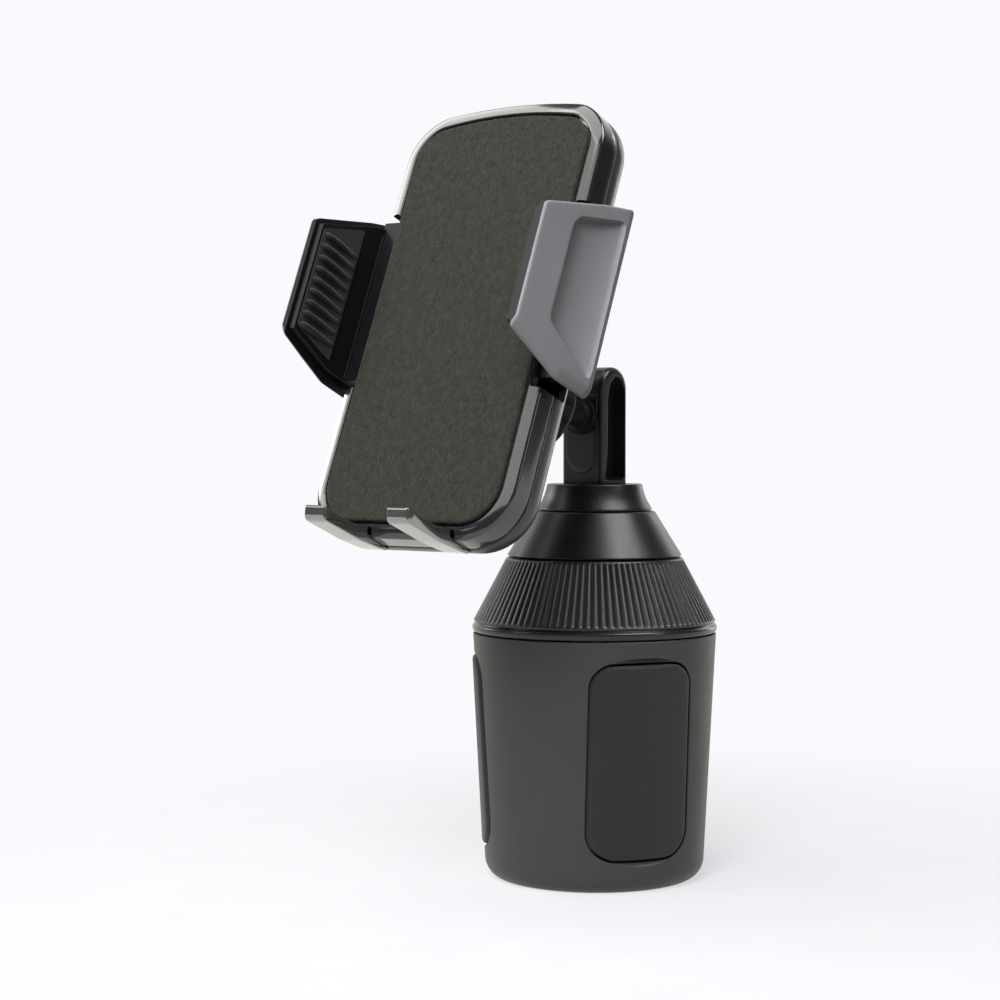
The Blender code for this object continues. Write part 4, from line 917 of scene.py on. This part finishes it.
def build_cloth():
    """The cloth face: foam-backed, tucked down at its edge, with a faint loose ripple."""
    proud, deep = 0.0002, -0.0009

    def place(x, y, share, lift):
        return Vector((x, y, proud + lift if share else deep))

    def ripple(x, y):
        return 0.00005 * math.sin(310.0 * x + 90.0 * y) * math.sin(140.0 * y - 60.0 * x)

    cloth = relief("cloth_face", between(face_outline(-0.0002), EDGE_SPACING), place, "cloth", "cradle",
                   ("fabric_pad",), 0.0016, 0.0008, FACE, ripple, edge_steps=5)


# ---------------------------------------------------------------- clamp jaws
JAW_LEAN, JAW_LEAN_FROM = 0.06, 0.0050
COVER_INNER, COVER_OUTER = 0.0389, 0.0412
COVER = ((0.0222, 0.0212), (0.0212, 0.0222), (0.0, 0.0315), (-0.0110, 0.0355), (-0.0122, 0.0348),
         (-0.0122, -0.0172), (-0.0112, -0.0182), (0.0020, -0.0182), (0.0216, -0.0126), (0.0222, -0.0116))
SCOOP = ((0.0106, 0.0232), (-0.0090, 0.0312), (-0.0094, -0.0146), (0.0112, -0.0060))
SCOOP_DEPTH = 0.0021
SCOOP_DEEPEST = 0.0005
REAR_TURN, REAR_SLOPE = -0.0096, 0.45               # the cover turns in behind and, a little, in front
FRONT_TURN, FRONT_SLOPE = 0.0120, 0.03
LOWER_EDGE, RISE_FROM, RISE = -0.0182, 0.0020, 0.286
BEVEL_W, BEVEL_SLOPE = 0.0026, 0.6
LINER = ((0.0206, 0.0194), (0.0046, 0.0266), (0.0046, -0.0128), (0.0206, -0.0092))
LINER_OUTER = 0.0366
RIB_TOP = 0.0350
RIBS, RIB_LOWEST, RIB_PITCH = 9, -0.0085, 0.0033
RIB_FRONT, RIB_LONG, RIB_HALF_W = 0.0202, 0.0144, 0.00088


def leaned(side, distance, out, up):
    """A point of a jaw: its distance from the middle, leaned in towards the phone at the front."""
    return Vector((side * (distance - JAW_LEAN * (out - JAW_LEAN_FROM)), up, out))


def build_cover(side, label):
    """The outer cover with its finger scoop, turned in along the rear edge."""
    scoop = counter_clockwise(soften(SCOOP, 0.0034, 8))

    def height(out, up):
        lift = -REAR_SLOPE * max(0.0, REAR_TURN - out) - FRONT_SLOPE * max(0.0, out - FRONT_TURN)
        above = up - LOWER_EDGE - RISE * max(0.0, out - RISE_FROM)
        lift -= BEVEL_SLOPE * max(0.0, BEVEL_W - above)
        (near,), (inside,) = distances([(out, up)], scoop)
        if inside:
            reach, bend = (0.0104, 2.7) if out > SCOOP_DEEPEST else (0.0125, 2.0)
            bowl = SCOOP_DEPTH * max(0.0, 1.0 - (abs(out - SCOOP_DEEPEST) / reach) ** bend)
            wall = float(near) * (1.2 + 2.9 * smoothstep(0.0180, 0.0260, up))
            lift -= min(bowl, bowl * wall / (0.30 * bowl + wall + 1e-9) * 1.1)
        return lift

    def place(out, up, share, lift):
        return leaned(side, COVER_OUTER + lift if share else COVER_INNER, out, up)

    cover = relief(f"{label}_cover_shape", soften(COVER, 0.0012, 5, limit=8.0), place, "jaw",
                   f"{label}_jaw", (f"{label}_jaw_cover",), 0.0007, 0.0006, FACE, height,
                   lines=(scoop, inset(scoop, 0.0005), inset(scoop, 0.0011)))
    cover.data.materials.append(LOOKS["inner"])
    for face in cover.data.polygons:
        if side * face.normal.x < 0.05:
            face.material_index = 1


def build_liner(side, label):
    """The rubber grip: a thin bed with ramped ribs, tallest at the front."""
    bed_in, stations, across = LINER_OUTER - 0.0004, 14, 11
    bed = soften(LINER, 0.0008, 4)
    solids = [[[leaned(side, level, out, up) for out, up in bed] for level in (LINER_OUTER, bed_in)]]
    for number in range(RIBS):
        middle = RIB_LOWEST + number * RIB_PITCH
        rings = []
        for k in range(stations + 1):
            t = k / stations
            tip = math.sqrt(max(0.0, 1.0 - (1.0 - min(1.0, t / 0.12)) ** 2))
            fade = 1.0 - 0.72 * smoothstep(0.35, 1.0, t)
            tall = (LINER_OUTER - 0.0001 - RIB_TOP) * tip * fade + 0.00012
            half = RIB_HALF_W * (0.55 + 0.45 * tip)
            ring = [(bed_in + 0.0001 - tall * math.sin(turn) ** 0.7, half * math.cos(turn))
                    for turn in (math.pi * j / across for j in range(across + 1))]
            ring += [(bed_in + 0.0003, -half), (bed_in + 0.0003, half)]
            out = RIB_FRONT - RIB_LONG * t
            rings.append([leaned(side, distance, out, middle + up) for distance, up in ring])
        solids.append(rings)
    link(f"{label}_rib_grip", lofted(*solids), "grip", f"{label}_jaw", (f"{label}_grip_liner",),
         FACE, sharp=50.0, weighted=False)


# ---------------------------------------------------------------- foot and button
def build_feet():
    """The foot: two tapered prongs with a lip, chamfered below, on the sliding block."""
    chamfer, slab = 0.00035, (-0.0092, -0.0066)
    # out of the face, top, bottom and half width, from the lip at the tip to the block
    stations = ((0.0181, -0.0602, -0.0620, 0.0028), (0.0180, -0.0597, -0.0625, 0.0032),
                (0.0177, -0.0594, -0.0628, 0.0034), (0.0171, -0.0593, -0.0630, 0.0035),
                (0.0158, -0.0592, -0.0631, 0.0036), (0.0152, -0.0594, -0.0631, 0.0036),
                (0.0146, -0.0597, -0.0631, 0.0036), (0.0138, -0.0598, -0.0631, 0.0036),
                (0.0080, -0.0598, -0.0631, 0.0036), (0.0060, -0.0597, -0.0631, 0.0036),
                (0.0042, -0.0594, -0.0631, 0.0036), (0.0026, -0.0589, -0.0631, 0.0036),
                (0.0012, -0.0583, -0.0630, 0.0036), (0.0008, -0.0583, -0.0630, 0.0036),
                (-0.0002, -0.0604, -0.0629, 0.0036), (-0.0060, -0.0604, -0.0624, 0.0036),
                (-0.0086, -0.0604, -0.0620, 0.0036), (-0.0092, -0.0604, -0.0614, 0.0036))
    solids = []
    for sign in (-1, 1):
        rings = []
        for out, top, bottom, half in stations:
            ring = [(half - 0.0004, top), (half - 0.0001, top - 0.0001), (half, top - 0.0004),
                    (half, bottom + chamfer), (half - 0.3 * chamfer, bottom + 0.3 * chamfer),
                    (half - chamfer, bottom)]
            ring += [(-x, y) for x, y in reversed(ring)]
            slant = 0.30 * smoothstep(0.0146, 0.0178, out)
            rings.append([Vector((sign * PRONG_AT + x, y, out - slant * (top - y))) for x, y in ring])
        leg = rounded(0.0036, -0.0608, -0.0400, 0.0004, 0.0004, steps=2)
        solids += [rings, [[Vector((sign * PRONG_AT + x, y, level)) for x, y in leg] for level in slab]]
    block = rounded(0.0175, -0.0460, -0.0360, 0.0010, 0.0010, steps=4)
    solids.append([[Vector((x, y, level)) for x, y in block] for level in slab])
    link("foot_prongs", lofted(*solids), "prong", "foot", ("foot_bracket",), FACE)


def build_button():
    """The release button: a round cap with a dished top."""
    cap, flange = 0.0050, 0.0066
    profile = [(0.0, -0.0145), (flange, -0.0145), (flange, -0.0155), (cap, -0.0155), (cap, -0.0194),
               (cap - 0.0007, -0.0200), (0.0034, -0.0199), (0.0018, -0.0196), (0.0, -0.0195)]
    lathe("button_cap", profile, "gloss", "release_button", ("release_button",), 0.0003, 64,
          FACE @ Matrix.Translation((0.0, BUTTON_UP, 0.0)), limit=10.0)


def build_button_spring():
    """The spring under the button."""
    turns, radius, wire, low, high, squeeze = 4, 0.0027, 0.00025, -0.0139, -0.0045, 0.0021
    rings = []
    for step in range(turns * 24 + 1):
        angle, level = math.tau * step / 24, low + (high - low) * step / (turns * 24)
        rings.append([Vector((r * math.cos(angle), BUTTON_UP + r * math.sin(angle), z))
                      for r, z in arc((radius, level), wire, 0, 324, 9)])
    spring = link("return_spring", lofted(rings), "steel", "cradle", ("button_spring",), FACE)
    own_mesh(spring)


# ---------------------------------------------------------------- carried-over nodes
CARRIED = {
    "inner": ("guide_deck", "pad_carrier_1", "pad_carrier_2", "pad_carrier_3", "left_arm", "right_arm"),
    "nylon": ("scroll_disc", "ball_seat", "pinion"),
    "grip": ("friction_ring",),
    "foam": ("foam_sheet",),
    "steel": ("deck_screw_1", "deck_screw_2", "deck_screw_3", "ring_screw_1", "ring_screw_2", "ring_screw_3",
              "swivel_bolt", "spring_washer", "pinion_pin", "jaw_spring"),
}
SOFT_EDGED = ("left_arm", "right_arm", "pad_carrier_1", "pad_carrier_2", "pad_carrier_3", "guide_deck")


def dress_carried():
    """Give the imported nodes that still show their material, and soften the edges of moulded ones."""
    for look, names in CARRIED.items():
        for name in names:
            obj = frame["nodes"][name]
            obj.data.materials.clear()
            obj.data.materials.append(LOOKS[look])
            if name in SOFT_EDGED:
                weld = obj.modifiers.new("weld", "WELD")
                weld.merge_threshold = 0.00001
                bevel = obj.modifiers.new("edges", "BEVEL")
                bevel.width = 0.00022
                bevel.segments = 2
                bevel.limit_method = "ANGLE"
                bevel.angle_limit = math.radians(40.0)
                bevel.use_clamp_overlap = True
                bevel.harden_normals = False
                obj.modifiers.new("normals", "WEIGHTED_NORMAL").keep_sharp = True


# ---------------------------------------------------------------- studio
CAMERA_TURN = math.radians(35.5)        # from -Y towards +X
CAMERA_FAR = 0.650
CAMERA_HIGH = 0.1271
CAMERA_AIM = math.radians(2.4)          # the view looks to the left of the base's axis
CAMERA_DIP = math.radians(1.65)
SENSOR = 36.0
FOCAL = 81.2
BACKDROP = (0.947, 0.956, 0.982)
WHITE, WARM = (1.0, 1.0, 1.0), (1.0, 0.99, 0.95)
FLOOR_BOUNCE = (0.97, 0.96, 0.90)       # the floor's colour in the object, not to the camera
FLOOR_DIM, FLOOR_DROP = 0.67, 0.75
SHADOW_NEAR, SHADOW_FAR = 0.06, 0.32
SURROUND_DROP = 0.90
LOW_AIM, HIGH_AIM = (0.0, -0.03, 0.11), (0.0, -0.06, 0.15)
# name, aim, azimuth, elevation, distance, size, power, colour and the surfaces that show it
SOFTBOXES = (
    ("key_right", LOW_AIM, 99.0, 57.0, 0.9, (0.56, 0.42), 5.6, WHITE, "mirrored"),
    ("rim_right", LOW_AIM, 98.0, 14.0, 0.9, (0.10, 0.30), 0.5, WHITE, "mirrored"),
    ("front_right", LOW_AIM, 26.0, 36.0, 1.0, (0.36, 0.50), 10.5, WHITE, "matte"),
    ("front_left", LOW_AIM, -17.0, 39.0, 1.0, (1.30, 0.62), 5.6, WARM, "all"),
    ("left_box", HIGH_AIM, -92.0, 14.0, 0.9, (0.34, 0.22), 1.0, WHITE, "all"),
    ("frame_box", HIGH_AIM, -80.0, 34.0, 0.9, (0.80, 0.84), 8.0, WARM, "all"),
    ("high_left", LOW_AIM, -26.0, 70.0, 1.0, (0.80, 0.56), 5.0, WARM, "all"),
    ("edge_right", LOW_AIM, 178.0, 0.0, 0.9, (0.20, 0.9), 1.2, WHITE, "mirrored"),
)


def area_light(name, target, azimuth, elevation, far, size, power, colour):
    """A softbox aimed at a point; azimuth is from -Y towards +X, in degrees."""
    turn, lift = math.radians(azimuth), math.radians(elevation)
    back = Vector((math.sin(turn) * math.cos(lift), -math.cos(turn) * math.cos(lift), math.sin(lift)))
    light = bpy.data.lights.new(name, "AREA")
    light.shape = "RECTANGLE"
    light.size, light.size_y = size
    light.energy = power
    light.color = colour
    obj = bpy.data.objects.new(name, light)
    obj.location = Vector(target) + back * far
    obj.rotation_euler = back.to_track_quat("Z", "Y").to_euler()
    obj.visible_camera = False
    bpy.context.scene.collection.objects.link(obj)
    return obj


def weaker(tree, strength, share):
    """A strength cut down by a share for the light that matte surfaces gather."""
    matte = tree.nodes.new("ShaderNodeLightPath").outputs["Is Diffuse Ray"]
    kept = add_node(tree, "ShaderNodeMath", 0, {0: matte, 1: -share, 2: 1.0}, operation="MULTIPLY_ADD")
    return add_node(tree, "ShaderNodeMath", 0, {0: kept, 1: strength}, operation="MULTIPLY")


def floor_paper():
    """Bright seamless paper, lit to the backdrop's tone; it takes a soft shadow near the middle."""
    paint = Shader("floor_paper", roughness=0.9, specular=0.0)
    grain = ((0.3, (0.24, 0.24, 0.25)), (0.7, (0.26, 0.26, 0.27)))
    paint.set("Base Color", paint.ramp(paint.noise(30.0, 3.0), grain))
    length = paint.node("ShaderNodeVectorMath", "Value", {0: paint.where}, operation="LENGTH")
    reach = paint.node("ShaderNodeMapRange", "Result", {
        "Value": length, "From Min": SHADOW_NEAR, "From Max": SHADOW_FAR}, interpolation_type="SMOOTHSTEP")
    seen = paint.tree.nodes.new("ShaderNodeLightPath").outputs["Is Camera Ray"]
    tone = paint.mix(seen, FLOOR_BOUNCE, BACKDROP)
    dim, glow = (paint.node("ShaderNodeEmission", "Emission", {
        "Color": tone, "Strength": weaker(paint.tree, strength, FLOOR_DROP)})
        for strength in (FLOOR_DIM, 1.0))
    near = paint.node("ShaderNodeAddShader", "Shader", {0: paint.out.outputs["BSDF"], 1: dim})
    blend = paint.node("ShaderNodeMixShader", "Shader", {"Fac": reach, 1: near, 2: glow})
    paint.tree.links.new(blend, paint.tree.nodes["Material Output"].inputs["Surface"])
    return paint.material


def build_floor():
    """The pale floor."""
    bm = bmesh.new()
    bmesh.ops.create_grid(bm, x_segments=8, y_segments=8, size=6.0)
    mesh = bpy.data.meshes.new("floor")
    bm.to_mesh(mesh)
    bm.free()
    floor = bpy.data.objects.new("floor", mesh)
    bpy.context.scene.collection.objects.link(floor)
    mesh.materials.append(floor_paper())


def build_surround():
    """The backdrop that the camera sees, and the warmer glow from behind that lights the object."""
    world = bpy.data.worlds.new("studio")
    bpy.context.scene.world = world
    world.use_nodes = True
    tree = world.node_tree
    backdrop = tree.nodes["Background"]
    backdrop.inputs["Color"].default_value = (*BACKDROP, 1.0)
    way = tree.nodes.new("ShaderNodeTexCoord").outputs["Generated"]
    behind = (-math.sin(CAMERA_TURN), math.cos(CAMERA_TURN), 0.0)
    facing = add_node(tree, "ShaderNodeVectorMath", "Value", {0: way, 1: behind}, operation="DOT_PRODUCT")
    glow = add_node(tree, "ShaderNodeMapRange", "Result", {
        "Value": facing, "From Min": 0.40, "From Max": 0.90, "To Min": 0.07, "To Max": 0.95},
        interpolation_type="SMOOTHSTEP")
    fill = add_node(tree, "ShaderNodeBackground", "Background", {
        "Color": (*WARM, 1.0), "Strength": weaker(tree, glow, SURROUND_DROP)})
    seen = tree.nodes.new("ShaderNodeLightPath").outputs["Is Camera Ray"]
    pick = add_node(tree, "ShaderNodeMixShader", "Shader", {
        "Fac": seen, 1: fill, 2: backdrop.outputs["Background"]})
    tree.links.new(pick, tree.nodes["World Output"].inputs["Surface"])


def build_lights():
    """The softboxes; some are only mirrored, one only lights matte surfaces, one only the front frame."""
    for name, aim, azimuth, elevation, far, size, power, colour, rays in SOFTBOXES:
        light = area_light(name, aim, azimuth, elevation, far, size, power, colour)
        light.visible_diffuse = rays != "mirrored"
        light.visible_glossy = rays != "matte"
    lit = bpy.data.collections.new("frame_box_lights")
    lit.objects.link(bpy.data.objects["front_frame"])
    bpy.data.objects["frame_box"].light_linking.receiver_collection = lit


def build_camera():
    """The camera, where the photo was taken from."""
    scene = bpy.context.scene
    camera = bpy.data.cameras.new("camera")
    camera.sensor_width = SENSOR
    camera.lens = FOCAL
    view = bpy.data.objects.new("camera", camera)
    scene.collection.objects.link(view)
    away = Vector((math.sin(CAMERA_TURN), -math.cos(CAMERA_TURN), 0.0))
    view.location = away * CAMERA_FAR / math.cos(CAMERA_AIM) + Vector((0, 0, CAMERA_HIGH))
    ahead = Matrix.Rotation(CAMERA_AIM, 3, "Z") @ -away
    ahead = ahead * math.cos(CAMERA_DIP) - Vector((0, 0, math.sin(CAMERA_DIP)))
    view.rotation_euler = ahead.to_track_quat("-Z", "Y").to_euler()
    scene.camera = view
    scene.view_settings.view_transform = "Standard"


# ---------------------------------------------------------------- assembly
build_cup()
build_pads()
build_ring()
build_cone()
build_post()
build_post_panel()
build_collar()
build_stud()
build_socket()
build_nut()
build_bezel()
build_back_shell()
build_cloth()
for jaw_side, jaw_label in ((-1, "left"), (1, "right")):
    build_cover(jaw_side, jaw_label)
    build_liner(jaw_side, jaw_label)
build_feet()
build_button()
build_button_spring()
dress_carried()
build_floor()
build_surround()
build_lights()
build_camera()
